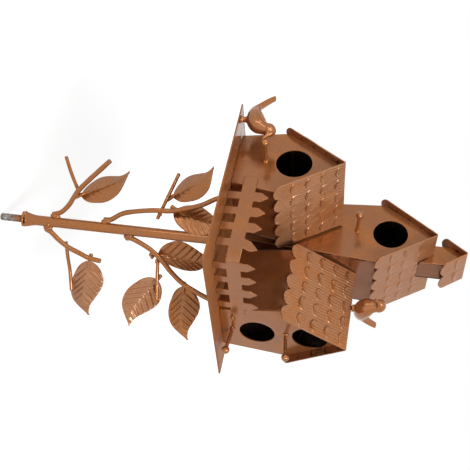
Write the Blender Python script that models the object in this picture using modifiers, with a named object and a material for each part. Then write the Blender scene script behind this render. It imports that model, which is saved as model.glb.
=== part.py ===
"""Birdhouse on a pole: three sheet-metal bird houses on a square platform.

The object stands on a threaded stud. Origin: centre of the stud's lower end, +Z up.
-Y is the side that house A and the tower face, +X the side that house B faces.
Units are metres.
"""
import math

import bmesh
import bpy
from mathutils import Matrix, Vector

GAP = 0.0003                    # clearance between pieces that touch
SHEET = 0.0012                  # sheet steel of the houses and the fence
CUT_OVER = 0.01                 # how far a cutter runs past what it cuts

# Pole and stud
STUD_DIAMETER = 0.008
STUD_BARE_LENGTH = 0.0245       # what stands out of the pole
STUD_HIDDEN_LENGTH = 0.016      # what is held in the pole's pinched end
STUD_CHAMFER = 0.0007
POLE_DIAMETER = 0.011
POLE_WALL = 0.0011
POLE_FLARE_WIDTH = 0.0165       # the pinched end, seen from its broad side
POLE_FLARE_LENGTH = 0.017
POLE_FLARE_STEPS = (0.0, 0.12, 0.3, 0.5, 0.7, 0.85, 1.0)   # heights of its sections

# Platform
DECK_SIDE = 0.200
DECK_THICKNESS = 0.0015
DECK_CORNER = 0.002
DECK_TOP = 0.252                # above the stud's lower end

# Pressed roofs: courses of scalloped shingles in one folded sheet
ROOF_SHEET = 0.0010
COURSE = 0.0164                 # height of a course along the slope
LIP = 0.0013                    # how far a course's lower edge stands proud
LIP_RUN = 0.0018                # length of the step below a lip
SCALLOP_DEPTH = 0.0032          # scallops inside the roof
EAVE_SCALLOP_DEPTH = 0.0055     # lobes at the eave
RIDGE_RADIUS = 0.0016
COLUMNS_PER_LOBE = 5

# House entries and perches
ENTRY_DIAMETER = 0.0362
PERCH_ROD_DIAMETER = 0.0036
PERCH_BALL_DIAMETER = 0.0080
PERCH_REACH = 0.0300            # from the wall to the ball's centre

# House A, at the left of the front
A_CENTRE_X = -0.0528
A_FRONT_Y = -0.0695
A_BASE_HALF = 0.0316
A_FLARE = 0.181                 # widening of each side for each unit of height
A_DEPTH = 0.0770
A_ENTRY_Z = 0.0583
A_PERCH_Z = 0.0298
A_RIDGE_Z = 0.1094
A_HALF_SPAN = 0.0438
A_DROP = 0.0657
A_OVERHANG = 0.0085
A_BACK_OVERHANG = 0.0097
A_ROOF_LENGTH = A_OVERHANG + A_DEPTH + A_BACK_OVERHANG

# House B, at the right, two storeys
B_CENTRE_Y = 0.0471
B_FRONT_X = 0.0739
B_BASE_HALF = 0.0312
B_FLARE = 0.158
B_DEPTH = 0.0770
B_ENTRY_Z = (0.0372, 0.0908)
B_ENTRY_SHIFT = 0.0026          # the entries sit off the centre line
B_PERCH_Z = (0.0118, 0.0664)
B_PERCH_TILT = (-5.0, 8.0)      # degrees above level
B_RIDGE_Z = 0.1287
B_HALF_SPAN = 0.0437
B_DROP = 0.0662
B_OVERHANG = 0.0097
B_BACK_OVERHANG = 0.0078
B_ROOF_LENGTH = B_OVERHANG + B_DEPTH + B_BACK_OVERHANG

# Tower, at the back, with a chimney astride its ridge
TOWER_BEHIND_A = 0.0033         # clear of the back edge of house A's roof
TOWER_BESIDE_B = 0.00055        # clear of the back edge of house B's roof, at its ridge
T_BASE_HALF = 0.0259
T_FLARE = 0.0812
T_CENTRE_X = B_FRONT_X - B_DEPTH - B_BACK_OVERHANG - TOWER_BESIDE_B - T_BASE_HALF - T_FLARE * B_RIDGE_Z
T_FRONT_Y = A_FRONT_Y + A_DEPTH + A_BACK_OVERHANG + TOWER_BEHIND_A
T_DEPTH = 0.0750
T_ENTRY_Z = 0.1603
T_PERCH_Z = 0.1251
T_PERCH_TILT = 10.0
T_RIDGE_Z = 0.2087
T_HALF_SPAN = 0.0425
T_DROP = 0.0616
T_OVERHANG = 0.0071
T_BACK_OVERHANG = 0.0149
T_ROOF_LENGTH = T_OVERHANG + T_DEPTH + T_BACK_OVERHANG
T_ROOF_TILT = -2.0              # degrees, the ridge falls towards the back

CHIMNEY_SETBACK = 0.0275        # behind the tower's front
CHIMNEY_HALF = 0.0120
CHIMNEY_DEPTH = 0.0266
CHIMNEY_RIDGE_Z = 0.2424
CHIMNEY_HALF_SPAN = 0.0198
CHIMNEY_DROP = 0.0266
CHIMNEY_OVERHANG = 0.0090
CHIMNEY_ROOF_LENGTH = 0.0444

# Fence, one folded sheet between the fronts of houses A and B
FENCE_RAIL_LOW = 0.0125
FENCE_RAIL_HIGH = 0.0262
FENCE_TIP = 0.0405
FENCE_SHOULDER = 0.0330         # where a picket's point starts
PICKET_WIDTH = 0.0112
PICKET_FOOT_WIDTH = 0.0090
FENCE_LAP = 0.0070              # how far each end laps over a house's front
LEFT_PICKETS = 4
LEFT_PICKET_START = 0.0215      # first picket's distance from the corner
LEFT_PICKET_PITCH = 0.0192
RIGHT_PICKETS = 4
RIGHT_PICKET_START = 0.0096
RIGHT_PICKET_PITCH = 0.0215
PICKET_LEAN = 0.0060            # sideways lean of the tip of the picket beside the fold

# Birds
BIRD_BODY = (0.0178, 0.0105, 0.0112)     # half length, half width, half height
BIRD_BODY_Z = 0.0155
BIRD_BODY_PITCH = 8.0
BIRD_HEAD_RADIUS = 0.0078
BIRD_HEAD_AT = (0.0138, 0.0298)          # ahead of the body's centre, and height
BIRD_BEAK_LENGTH = 0.0090
BIRD_BEAK_RADIUS = 0.0032
BIRD_BEAK_TIP_RADIUS = 0.0004
BIRD_BEAK_DROOP = 10.0                   # degrees below level
BIRD_BEAK_SEAT = 0.82                    # where the beak starts, by the head's radius
BIRD_LEG_RADIUS = 0.0028
BIRD_TAIL_WIDTH = 0.0085
BIRD_TAIL_THICKNESS = 0.0020
BIRD_TAIL_SEAT = 0.6                     # where the tail starts, by the body's half length
BIRD_TAIL_TIP = (-0.0370, 0.0275)
BIRD_1_AT = (-0.0842, -0.0940)
BIRD_1_HEADING = -6.0                    # degrees from +X
BIRD_2_X = 0.0330
BIRD_2_HEADING = -80.0

# Spray of branches and leaves, in the upright plane through the platform's diagonal
SPRAY_AZIMUTH = 45.0
BRANCH_RADIUS = 0.00265
TWIG_RADIUS = 0.0019
ROUTE_STEPS = 2                 # points between two of a route's own points

# Leaves
LEAF_HALF_WIDTH = 0.0180
LEAF_SHEET = 0.0010
LEAF_SHAPE = 0.62               # below 1 the leaf is broadest nearer its base
LEAF_TIP_HALF_WIDTH = 0.0003
LEAF_BOW = 0.0064               # sideways sweep of the midrib
LEAF_BOW_SHAPE = 1.9            # above 1 the sweep lies nearer the tip
LEAF_STEM_RADIUS = 0.0022
LEAF_STEM_LAP = 0.0035          # how far the stem runs onto the blade
LEAF_BASE_HALF_WIDTH = 0.0018
LEAF_VEINS = 6
LEAF_VEIN_HEIGHT = 0.0005
LEAF_VEIN_SLANT = 0.30          # how far a vein runs towards the tip, by half widths
LEAF_FOLD = 0.0020              # fall of the rims behind the midrib
LEAF_FOLD_SHAPE = 1.5           # above 1 the fall is steepest at the rims
LEAF_VEIN_START = 6.0           # how fast the veins rise from the base
LEAF_VEIN_END = 3.0             # and fade towards the tip

BRONZE = (0.38, 0.17, 0.075)
BRONZE_DARK = (0.22, 0.09, 0.04)
BRONZE_LIGHT = (0.46, 0.22, 0.11)
STEEL = (0.42, 0.40, 0.37)


def clear_scene():
    """Remove every object that the open file holds."""
    for old in list(bpy.data.objects):
        bpy.data.objects.remove(old, do_unlink=True)


def new_collection(name):
    """Add a collection to the scene."""
    collection = bpy.data.collections.new(name)
    bpy.context.scene.collection.children.link(collection)
    return collection


clear_scene()
PARTS = new_collection("birdhouse_on_pole")
CUTTERS = new_collection("cutters")


def enamel(name, colour, roughness=0.35, metallic=0.6):
    """Make a plain Principled material."""
    material = bpy.data.materials.new(name)
    material.use_nodes = True
    shader = material.node_tree.nodes["Principled BSDF"]
    shader.inputs["Base Color"].default_value = (*colour, 1.0)
    shader.inputs["Roughness"].default_value = roughness
    shader.inputs["Metallic"].default_value = metallic
    return material


def link(name, data, place, colour=None, collection=None, smooth=True, **finish):
    """Put an object in a collection, at a place, with a finish of its own."""
    thing = bpy.data.objects.new(name, data)
    (collection or PARTS).objects.link(thing)
    thing.matrix_world = place
    if colour is not None:
        data.materials.append(enamel(name + "_finish", colour, **finish))
    if smooth and hasattr(data, "shade_smooth"):
        data.shade_smooth()
        data.set_sharp_from_angle(angle=math.radians(35))
    return thing


def cutter(name, data, place):
    """Put a shape among the cutters, which are not part of the object."""
    tool = link(name, data, place, collection=CUTTERS, smooth=False)
    tool.hide_render = True
    tool.display_type = "WIRE"
    return tool


def boolean(thing, tool, operation="DIFFERENCE"):
    """Cut a tool's shape from a piece, or join it on."""
    change = thing.modifiers.new(tool.name, "BOOLEAN")
    change.operation = operation
    change.solver = "EXACT"
    change.object = tool


def mesh_from(maker):
    """Fill a new mesh with what a function builds in bmesh."""
    shape = bmesh.new()
    maker(shape)
    bmesh.ops.recalc_face_normals(shape, faces=shape.faces)
    data = bpy.data.meshes.new("shape")
    shape.to_mesh(data)
    shape.free()
    return data


def tapered_box(half_low, half_high, low, high, front, back):
    """A box whose sides lean outwards: its ends are upright and parallel."""
    def build(shape):
        bmesh.ops.create_cube(shape, size=2.0)
        for corner in shape.verts:
            top = corner.co.z > 0
            half = half_high if top else half_low
            corner.co = Vector((math.copysign(half, corner.co.x),
                                back if corner.co.y > 0 else front,
                                high if top else low))
    return mesh_from(build)


def cylinder(radius, length, segments=32):
    """A cylinder along Z, centred on its own origin."""
    def build(shape):
        bmesh.ops.create_cone(shape, cap_ends=True, segments=segments,
                              radius1=radius, radius2=radius, depth=length)
    return mesh_from(build)


def outline_mesh(points, thickness):
    """A flat outline in XY, extruded by half its thickness to each side of Z."""
    def build(shape):
        low, high = ([shape.verts.new((x, y, level)) for x, y in points]
                     for level in (-thickness / 2, thickness / 2))
        shape.faces.new(low)
        shape.faces.new(high)
        for k in range(len(points)):
            shape.faces.new((low[k - 1], low[k], high[k], high[k - 1]))
        bmesh.ops.remove_doubles(shape, verts=shape.verts, dist=0.00001)
    return mesh_from(build)


def facing(angle, x, y, z):
    """The frame of something that faces a compass direction, in degrees from -Y."""
    return Matrix.Translation((x, y, z)) @ Matrix.Rotation(math.radians(angle), 4, "Z")


# Pressed roofs

class Roof:
    """The sizes of one folded roof, in the frame of the house that carries it.

    The house faces its own -Y. The ridge runs along Y from the front edge.
    """

    def __init__(self, ridge_z, half_span, drop, front, length, lobes, tilt=0.0):
        self.ridge_z = ridge_z
        self.half_span = half_span
        self.drop = drop
        self.front = front
        self.length = length
        self.lobes = lobes
        self.tilt = math.radians(tilt)
        self.pitch = math.atan2(drop, half_span)
        self.slope = math.hypot(half_span, drop)

    def place(self, house):
        """The roof's own frame: origin at the ridge's front end."""
        return (house @ Matrix.Translation((0, self.front, self.ridge_z))
                @ Matrix.Rotation(self.tilt, 4, "X"))

    def section(self, along, proud):
        """A point of the cross section, by its distance down the slope from the ridge."""
        half_turn = self.pitch
        arc = RIDGE_RADIUS * half_turn
        if along < arc:
            turn = along / RIDGE_RADIUS
            x = RIDGE_RADIUS * math.sin(turn)
            z = RIDGE_RADIUS * (math.cos(turn) - 1)
        else:
            turn = half_turn
            x = RIDGE_RADIUS * math.sin(turn) + (along - arc) * math.cos(turn)
            z = RIDGE_RADIUS * (math.cos(turn) - 1) - (along - arc) * math.sin(turn)
        return x + proud * math.sin(turn), z + proud * math.cos(turn)

    def scallop(self, share, depth):
        """How far a scalloped edge hangs below its notches at a share of the length."""
        lobe = (share * self.lobes) % 1.0
        return depth * math.sin(math.pi * lobe) ** 0.7 if 0 < lobe < 1 else 0.0

    def rows(self):
        """Each row of the grid: distance of its notches, scallop depth and height."""
        lines = [(0.0, 0.0, 0.0), (RIDGE_RADIUS * self.pitch, 0.0, 0.0)]
        edge = self.slope - EAVE_SCALLOP_DEPTH
        first = edge % COURSE
        lips = int(edge // COURSE)
        for k in range(lips):
            notch = first + k * COURSE
            if notch > lines[-1][0] + LIP_RUN:
                lines.append((notch, SCALLOP_DEPTH, LIP))
                lines.append((notch + LIP_RUN, SCALLOP_DEPTH, 0.0))
        lines.append((edge, EAVE_SCALLOP_DEPTH, LIP))
        return lines

    def sharp_ridge(self):
        """Height of the point where both slopes would meet if the ridge weren't rounded."""
        return RIDGE_RADIUS * (1 / math.cos(self.pitch) - 1)

    def underside(self, clearance):
        """Outline, in XZ, of all that lies above the roof's inner face."""
        below = ROOF_SHEET + clearance
        fall = math.tan(self.pitch)
        peak = self.sharp_ridge() - below / math.cos(self.pitch)
        flat = max(0.0, (peak + below) / fall)
        far = self.half_span + self.drop
        low = peak - far * fall
        return [(-flat, -below), (flat, -below), (far, low), (far, self.drop),
                (-far, self.drop), (-far, low)]

    def cut_length(self):
        """Length of a cutter that starts at the front edge and runs right through."""
        return 2 * (self.length + CUT_OVER)

    def upper_side(self, clearance):
        """Outline, in XZ, of the roof's body up to just above its shingles."""
        peak = self.sharp_ridge() + (LIP + clearance) / math.cos(self.pitch)
        far = self.half_span
        low = peak - far * math.tan(self.pitch)
        return [(0.0, peak), (-far, low), (-far, low - self.drop), (far, low - self.drop), (far, low)]


def upright_outline(points, thickness):
    """An outline in XZ, extruded along Y about its own plane."""
    data = outline_mesh(points, thickness)
    data.transform(Matrix.Rotation(math.radians(90), 4, "X"))
    return data


def pressed_roof(name, roof, house):
    """One folded sheet with its courses of scallops, thickened inwards."""
    rows = roof.rows()
    halves = [(side, row) for side, row in
              [(-1, row) for row in reversed(rows)] + [(1, row) for row in rows[1:]]]
    columns = roof.lobes * COLUMNS_PER_LOBE

    def build(shape):
        grid = []
        for side, (notch, depth, proud) in halves:
            line = []
            for column in range(columns + 1):
                share = column / columns
                along = notch + roof.scallop(share, depth)
                x, z = roof.section(along, proud)
                line.append(shape.verts.new((side * x, share * roof.length, z)))
            grid.append(line)
        for upper, lower in zip(grid, grid[1:]):
            for a, b, c, d in zip(upper, upper[1:], lower[1:], lower):
                shape.faces.new((a, b, c, d))
    data = mesh_from(build)
    if data.polygons[len(data.polygons) // 2].normal.z < 0:
        data.flip_normals()
    thing = link(name, data, roof.place(house), BRONZE)
    shell = thing.modifiers.new("sheet", "SOLIDIFY")
    shell.thickness = ROOF_SHEET
    shell.offset = -1.0
    return thing


# House bodies

def house_body(name, house, base_half, flare, depth, roof, entries):
    """Four sheet walls: gables front and back, sides that lean outwards."""
    high = roof.ridge_z + SHEET
    top_half = base_half + flare * high
    outer = tapered_box(base_half, top_half, GAP, high, 0.0, depth)
    walls = link(name, outer, house, BRONZE, smooth=False)
    inner = tapered_box(base_half - SHEET - flare * CUT_OVER, top_half - SHEET + flare * CUT_OVER,
                        -CUT_OVER, high + CUT_OVER, SHEET, depth - SHEET)
    boolean(walls, cutter(name + "_inside", inner, house))
    above = upright_outline(roof.underside(GAP), roof.cut_length())
    boolean(walls, cutter(name + "_roof_line", above, roof.place(house)))
    for number, (x, z) in enumerate(entries):
        bore = cylinder(ENTRY_DIAMETER / 2, CUT_OVER)
        at = house @ Matrix.Translation((x, 0, z)) @ Matrix.Rotation(math.radians(90), 4, "X")
        boolean(walls, cutter(f"{name}_entry_{number}", bore, at))
    return walls


def perch(name, house, x, z, tilt):
    """A turned peg: a rod out of the wall with a ball on its end."""
    rod, ball = PERCH_ROD_DIAMETER / 2, PERCH_BALL_DIAMETER / 2
    start = math.asin(rod / ball)
    steps = 7
    profile = []
    for k in range(steps + 1):
        turn = (math.pi - start) * k / steps
        profile.append((ball * math.sin(turn), PERCH_REACH + ball * math.cos(turn)))
    profile.append((rod, 0.0))
    profile.append((0.0, 0.0))
    data = bpy.data.meshes.new("profile")
    data.from_pydata([(r, 0.0, h) for r, h in profile], [(k, k + 1) for k in range(len(profile) - 1)], [])
    lean = math.radians(tilt)
    seat = GAP + rod * math.sin(abs(lean))
    outward = house @ Matrix.Translation((x, -seat, z)) @ Matrix.Rotation(math.radians(90) - lean, 4, "X")
    thing = link(name, data, outward, BRONZE_LIGHT, smooth=False)
    turn = thing.modifiers.new("turning", "SCREW")
    turn.steps = 12
    turn.render_steps = 12
    turn.use_merge_vertices = True
    turn.merge_threshold = 0.00001
    turn.use_smooth_shade = True
    return thing


# Pole, stud and platform

def lofted_tube(sections, segments=20):
    """A tube through oval sections (height, half width, half depth), shared rim to rim."""
    def build(shape):
        rings = []
        for height, wide, deep in sections:
            ring = []
            for k in range(segments):
                turn = 2 * math.pi * k / segments
                ring.append(shape.verts.new((wide * math.cos(turn), deep * math.sin(turn), height)))
            rings.append(ring)
        for low, high in zip(rings, rings[1:]):
            for k in range(segments):
                after = (k + 1) % segments
                shape.faces.new((low[k], low[after], high[after], high[k]))
    return mesh_from(build)


def make_pole():
    """The tube: round up to the platform, pinched to a broad oval round the stud."""
    top = DECK_TOP - DECK_THICKNESS - GAP
    radius = POLE_DIAMETER / 2
    foot_wide = POLE_FLARE_WIDTH / 2
    foot_deep = STUD_DIAMETER / 2 + GAP + POLE_WALL
    sections = []
    for share in POLE_FLARE_STEPS:
        ease = 0.5 + 0.5 * math.cos(math.pi * share)
        sections.append((STUD_BARE_LENGTH + share * POLE_FLARE_LENGTH,
                         radius + (foot_wide - radius) * ease,
                         radius + (foot_deep - radius) * ease))
    sections.append((top, radius, radius))
    place = Matrix.Rotation(math.radians(SPRAY_AZIMUTH), 4, "Z")
    thing = link("pole", lofted_tube(sections), place, BRONZE)
    shell = thing.modifiers.new("wall", "SOLIDIFY")
    shell.thickness = POLE_WALL
    shell.offset = -1.0
    return thing


def make_stud():
    """The threaded stud, its thread left plain, chamfered at its lower end."""
    length = STUD_BARE_LENGTH + STUD_HIDDEN_LENGTH
    data = cylinder(STUD_DIAMETER / 2, length, 24)
    data.transform(Matrix.Translation((0, 0, length / 2)))
    thing = link("threaded_stud", data, Matrix.Identity(4), STEEL, roughness=0.45, metallic=1.0)
    edge = thing.modifiers.new("chamfer", "BEVEL")
    edge.width = STUD_CHAMFER
    edge.segments = 1
    return thing


def make_deck():
    """The square sheet-metal platform with eased corners."""
    half, ease, steps = DECK_SIDE / 2, DECK_CORNER, 4
    points = []
    for quarter in range(4):
        for k in range(steps + 1):
            turn = math.radians(90) * (quarter + k / steps)
            centre = math.radians(90) * quarter + math.radians(45)
            reach = (half - ease) * math.sqrt(2)
            points.append((reach * math.cos(centre) + ease * math.cos(turn),
                           reach * math.sin(centre) + ease * math.sin(turn)))
    place = Matrix.Translation((0, 0, DECK_TOP - DECK_THICKNESS / 2))
    return link("platform", outline_mesh(points, DECK_THICKNESS), place, BRONZE_LIGHT, smooth=False,
                roughness=0.15)


# Fence

def picket_top(centre, lean=0.0):
    """The points of one picket above the rail, from left to right."""
    head = PICKET_WIDTH / 2
    rise = (FENCE_SHOULDER - FENCE_RAIL_HIGH) / (FENCE_TIP - FENCE_RAIL_HIGH)
    return [(centre - head, FENCE_RAIL_HIGH), (centre - head + lean * rise, FENCE_SHOULDER),
            (centre + lean, FENCE_TIP),
            (centre + head + lean * rise, FENCE_SHOULDER), (centre + head, FENCE_RAIL_HIGH)]


def picket_foot(centre):
    """The points of one picket's foot, from right to left."""
    foot = PICKET_FOOT_WIDTH / 2
    return [(centre + foot, FENCE_RAIL_LOW), (centre + foot, GAP),
            (centre - foot, GAP), (centre - foot, FENCE_RAIL_LOW)]


def make_fence():
    """One sheet, cut flat and folded at the near corner of the yard.

    Flat, it runs along X with the fold at x = 0. The left run is the side below zero.
    """
    corner_x = B_FRONT_X + GAP + SHEET
    corner_y = A_FRONT_Y - GAP - SHEET
    left_end = (A_CENTRE_X + A_BASE_HALF) - corner_x - FENCE_LAP
    right_end = (B_CENTRE_Y - B_BASE_HALF) - corner_y + FENCE_LAP
    left = [-LEFT_PICKET_START - k * LEFT_PICKET_PITCH for k in range(LEFT_PICKETS)]
    right = [RIGHT_PICKET_START + k * RIGHT_PICKET_PITCH for k in range(RIGHT_PICKETS)]
    centres = left[::-1] + right
    points = [(left_end, FENCE_RAIL_LOW), (left_end, FENCE_RAIL_HIGH)]
    for centre in centres:
        points += picket_top(centre, PICKET_LEAN if centre == left[0] else 0.0)
    points += [(right_end, FENCE_RAIL_HIGH), (right_end, FENCE_RAIL_LOW)]
    for centre in reversed(centres):
        points += picket_foot(centre)
    shape = bmesh.new()
    shape.from_mesh(outline_mesh(points, SHEET))
    bmesh.ops.bisect_plane(shape, geom=shape.verts[:] + shape.edges[:] + shape.faces[:],
                           plane_co=(0, 0, 0), plane_no=(1, 0, 0), dist=0.00001)
    for point in shape.verts:
        run, height = point.co.x, point.co.y
        inset = 0.0 if point.co.z > 0 else SHEET
        on_fold = abs(run) < 0.00002
        x = corner_x + min(run, 0.0) - (inset if on_fold or run > 0 else 0.0)
        y = corner_y + max(run, 0.0) + (inset if on_fold or run < 0 else 0.0)
        point.co = Vector((x, y, DECK_TOP + height))
    data = bpy.data.meshes.new("fence")
    shape.to_mesh(data)
    shape.free()
    return link("fence", data, Matrix.Identity(4), BRONZE, smooth=False)


# Birds

def ball(radii, segments=14, rings=9):
    """An ellipsoid with three half axes."""
    def build(shape):
        bmesh.ops.create_uvsphere(shape, u_segments=segments, v_segments=rings, radius=1.0)
        for point in shape.verts:
            point.co = Vector((point.co.x * radii[0], point.co.y * radii[1], point.co.z * radii[2]))
    return mesh_from(build)


def make_bird(name, x, y, z, heading):
    """A plump small bird: body, head, beak, tail and one stub of a leg, in one piece.

    Its own +X is the way it faces, and its origin is where its leg stands.
    """
    place = Matrix.Translation((x, y, z + GAP)) @ Matrix.Rotation(math.radians(heading), 4, "Z")
    pitch = Matrix.Rotation(-math.radians(BIRD_BODY_PITCH), 4, "Y")
    body_at = place @ Matrix.Translation((0, 0, BIRD_BODY_Z)) @ pitch
    bird = link(name, ball(BIRD_BODY), body_at, BRONZE)
    head_x, head_z = BIRD_HEAD_AT
    head = place @ Matrix.Translation((head_x, 0, head_z))
    boolean(bird, cutter(name + "_head", ball((BIRD_HEAD_RADIUS,) * 3, 12, 8), head), "UNION")

    def cone(shape):
        bmesh.ops.create_cone(shape, cap_ends=True, segments=10, radius1=BIRD_BEAK_RADIUS,
                              radius2=BIRD_BEAK_TIP_RADIUS, depth=BIRD_BEAK_LENGTH)
    beak = head @ Matrix.Rotation(math.radians(90 + BIRD_BEAK_DROOP), 4, "Y") @ Matrix.Translation(
        (0, 0, BIRD_HEAD_RADIUS * BIRD_BEAK_SEAT + BIRD_BEAK_LENGTH / 2))
    boolean(bird, cutter(name + "_beak", mesh_from(cone), beak), "UNION")
    leg = cylinder(BIRD_LEG_RADIUS, BIRD_BODY_Z, 12)
    boolean(bird, cutter(name + "_leg", leg, place @ Matrix.Translation((0, 0, BIRD_BODY_Z / 2))), "UNION")
    tip_x, tip_z = BIRD_TAIL_TIP
    root_x = -BIRD_BODY[0] * BIRD_TAIL_SEAT
    length = math.hypot(tip_x - root_x, tip_z - BIRD_BODY_Z)
    rise = math.atan2(tip_z - BIRD_BODY_Z, root_x - tip_x)
    feather = tapered_box(BIRD_TAIL_THICKNESS / 2, BIRD_TAIL_THICKNESS / 2, 0, length,
                          -BIRD_TAIL_WIDTH / 2, BIRD_TAIL_WIDTH / 2)
    tail = (place @ Matrix.Translation((root_x, 0, BIRD_BODY_Z))
            @ Matrix.Rotation(-math.radians(90) + rise, 4, "Y"))
    boolean(bird, cutter(name + "_tail", feather, tail), "UNION")
    return bird


# Spray of branches, twigs and leaves

SPRAY = Matrix.Rotation(math.radians(SPRAY_AZIMUTH), 4, "Z")


def spray_point(out, height, forward=0.0):
    """A point of the spray: distance out from the pole, height from the platform's top."""
    return SPRAY @ Vector((out, -forward, DECK_TOP + height))


def smooth_route(points, steps):
    """Points along a smooth curve (Catmull-Rom) through the route's own points."""
    ends = [points[0] * 2 - points[1]] + points + [points[-1] * 2 - points[-2]]
    route = []
    for before, here, there, after in zip(ends, ends[1:], ends[2:], ends[3:]):
        for k in range(steps):
            t = k / steps
            route.append(0.5 * (2 * here + (there - before) * t
                                + (2 * before - 5 * here + 4 * there - after) * t ** 2
                                + (3 * here - before - 3 * there + after) * t ** 3))
    return route + [points[-1]]


def rod(name, route, radius, forward, colour):
    """A bent round rod along a route in the spray's plane."""
    points = smooth_route([spray_point(out, height, forward) for out, height in route], ROUTE_STEPS)
    curve = bpy.data.curves.new(name, "CURVE")
    curve.dimensions = "3D"
    curve.bevel_depth = radius
    curve.bevel_resolution = 2
    curve.use_fill_caps = True
    spline = curve.splines.new("POLY")
    spline.points.add(len(points) - 1)
    for slot, point in zip(spline.points, points):
        slot.co = (*point, 1.0)
    return link(name, curve, Matrix.Identity(4), colour)


POLE_SIDE = POLE_DIAMETER / 2 + GAP + BRANCH_RADIUS
UNDERSIDE = -DECK_THICKNESS - GAP
BRANCHES = {
    "branch_1": [(-POLE_SIDE, -0.1370), (-POLE_SIDE - 0.0012, -0.1295), (-0.0178, -0.1154),
                 (-0.0232, -0.0886), (-0.0248, -0.0673), (-0.0285, -0.0515), (-0.0345, -0.0340),
                 (-0.0421, -0.0199), (-0.0452, -0.0100), (-0.0455, UNDERSIDE)],
    "branch_2": [(POLE_SIDE, -0.1120), (POLE_SIDE + 0.0006, -0.1040), (0.0182, -0.0844), (0.0294, -0.0706),
                 (0.0390, -0.0612), (0.0492, -0.0485), (0.0570, -0.0329), (0.0630, -0.0180),
                 (0.0655, -0.0090), (0.0658, UNDERSIDE)],
    "branch_3": [(-POLE_SIDE, -0.1940), (-0.0117, -0.1850), (-0.0200, -0.1772), (-0.0290, -0.1722),
                 (-0.0369, -0.1672), (-0.0485, -0.1569), (-0.0601, -0.1456), (-0.0705, -0.1354)],
    "branch_4": [(POLE_SIDE, -0.2010), (0.0112, -0.1950), (0.0185, -0.1859), (0.0250, -0.1754),
                 (0.0300, -0.1628), (0.0342, -0.1514), (0.0360, -0.1390)],
}
TWIG_STANDOFF = BRANCH_RADIUS + GAP + TWIG_RADIUS
# twig_2 butts against its branch in the spray's plane, the others pass behind theirs
TWIG_FORWARD = {"twig_1": -TWIG_STANDOFF, "twig_2": 0.0,
                "twig_3": -TWIG_STANDOFF, "twig_4": -TWIG_STANDOFF}
TWIGS = {
    "twig_1": [(-0.0150, -0.0812), (-0.0398, -0.0713), (-0.0637, -0.0619)],
    "twig_2": [(0.0301, -0.0762), (0.0490, -0.0755), (0.0705, -0.0742)],
    "twig_3": [(-0.0362, -0.1697), (-0.0530, -0.1782), (-0.0700, -0.1852)],
    "twig_4": [(0.0206, -0.1797), (0.0377, -0.1764), (0.0515, -0.1732), (0.0720, -0.1702)],
}


class Leaf:
    """Where one leaf sits: its stem's end, its blade's base and tip, its turn, its carrier."""

    def __init__(self, knob, base, tip, turn, twig=None):
        self.knob = knob
        self.base = base
        self.tip = tip
        self.turn = turn
        self.twig = twig

    def forward(self):
        """How far in front of the spray's plane the stem's axis lies, below zero behind it."""
        carrier = TWIG_FORWARD[self.twig] - TWIG_RADIUS if self.twig else -BRANCH_RADIUS
        return carrier - GAP - LEAF_STEM_RADIUS


LEAVES = {
    "leaf_1": Leaf((-0.0350, -0.0731), (-0.0392, -0.0678), (-0.0750, -0.0279), -42.0, "twig_1"),
    "leaf_2": Leaf((-0.0291, -0.0673), (-0.0236, -0.0648), (-0.0206, -0.0075), -40.0),
    "leaf_3": Leaf((0.0239, -0.0865), (0.0247, -0.0780), (0.0201, -0.0180), 25.0),
    "leaf_4": Leaf((0.0448, -0.0728), (0.0490, -0.0790), (0.1041, -0.1032), -10.0, "twig_2"),
    "leaf_5": Leaf((0.0492, -0.0472), (0.0542, -0.0493), (0.1109, -0.0396), 10.0),
    "leaf_6": Leaf((-0.0280, -0.1729), (-0.0312, -0.1669), (-0.0621, -0.1161), -42.0),
    "leaf_7": Leaf((0.0308, -0.1509), (0.0387, -0.1549), (0.0973, -0.1499), 0.0),
}


def leaf_half_width(share):
    """Half the blade's width at a share of its length."""
    blade = LEAF_HALF_WIDTH * math.sin(math.pi * share ** LEAF_SHAPE)
    return max(blade, LEAF_BASE_HALF_WIDTH * (1 - share), LEAF_TIP_HALF_WIDTH)


def leaf_point(share, across, length):
    """A point of the pressed leaf: share of its length, and -1 to 1 across it.

    The midrib sweeps sideways and hooks back at the tip, the side veins run
    towards the tip and stand out in turn, and the rims fall back. The blade
    lies against the back of its stem, whose axis is at zero height.
    """
    half = leaf_half_width(share)
    taper = max(0.0, min(1.0, share * LEAF_VEIN_START, (1 - share) * LEAF_VEIN_END))
    along = share * length + LEAF_VEIN_SLANT * half * abs(across) * taper
    sweep = LEAF_BOW * math.sin(math.pi * share ** LEAF_BOW_SHAPE)
    wave = math.cos(2 * math.pi * LEAF_VEINS * share) * min(1.0, 2 * abs(across))
    fall = LEAF_FOLD * abs(across) ** LEAF_FOLD_SHAPE * (half / LEAF_HALF_WIDTH)
    recess = LEAF_STEM_RADIUS - LEAF_SHEET
    return along, half * across - sweep, LEAF_VEIN_HEIGHT * wave * taper - fall - recess


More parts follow.
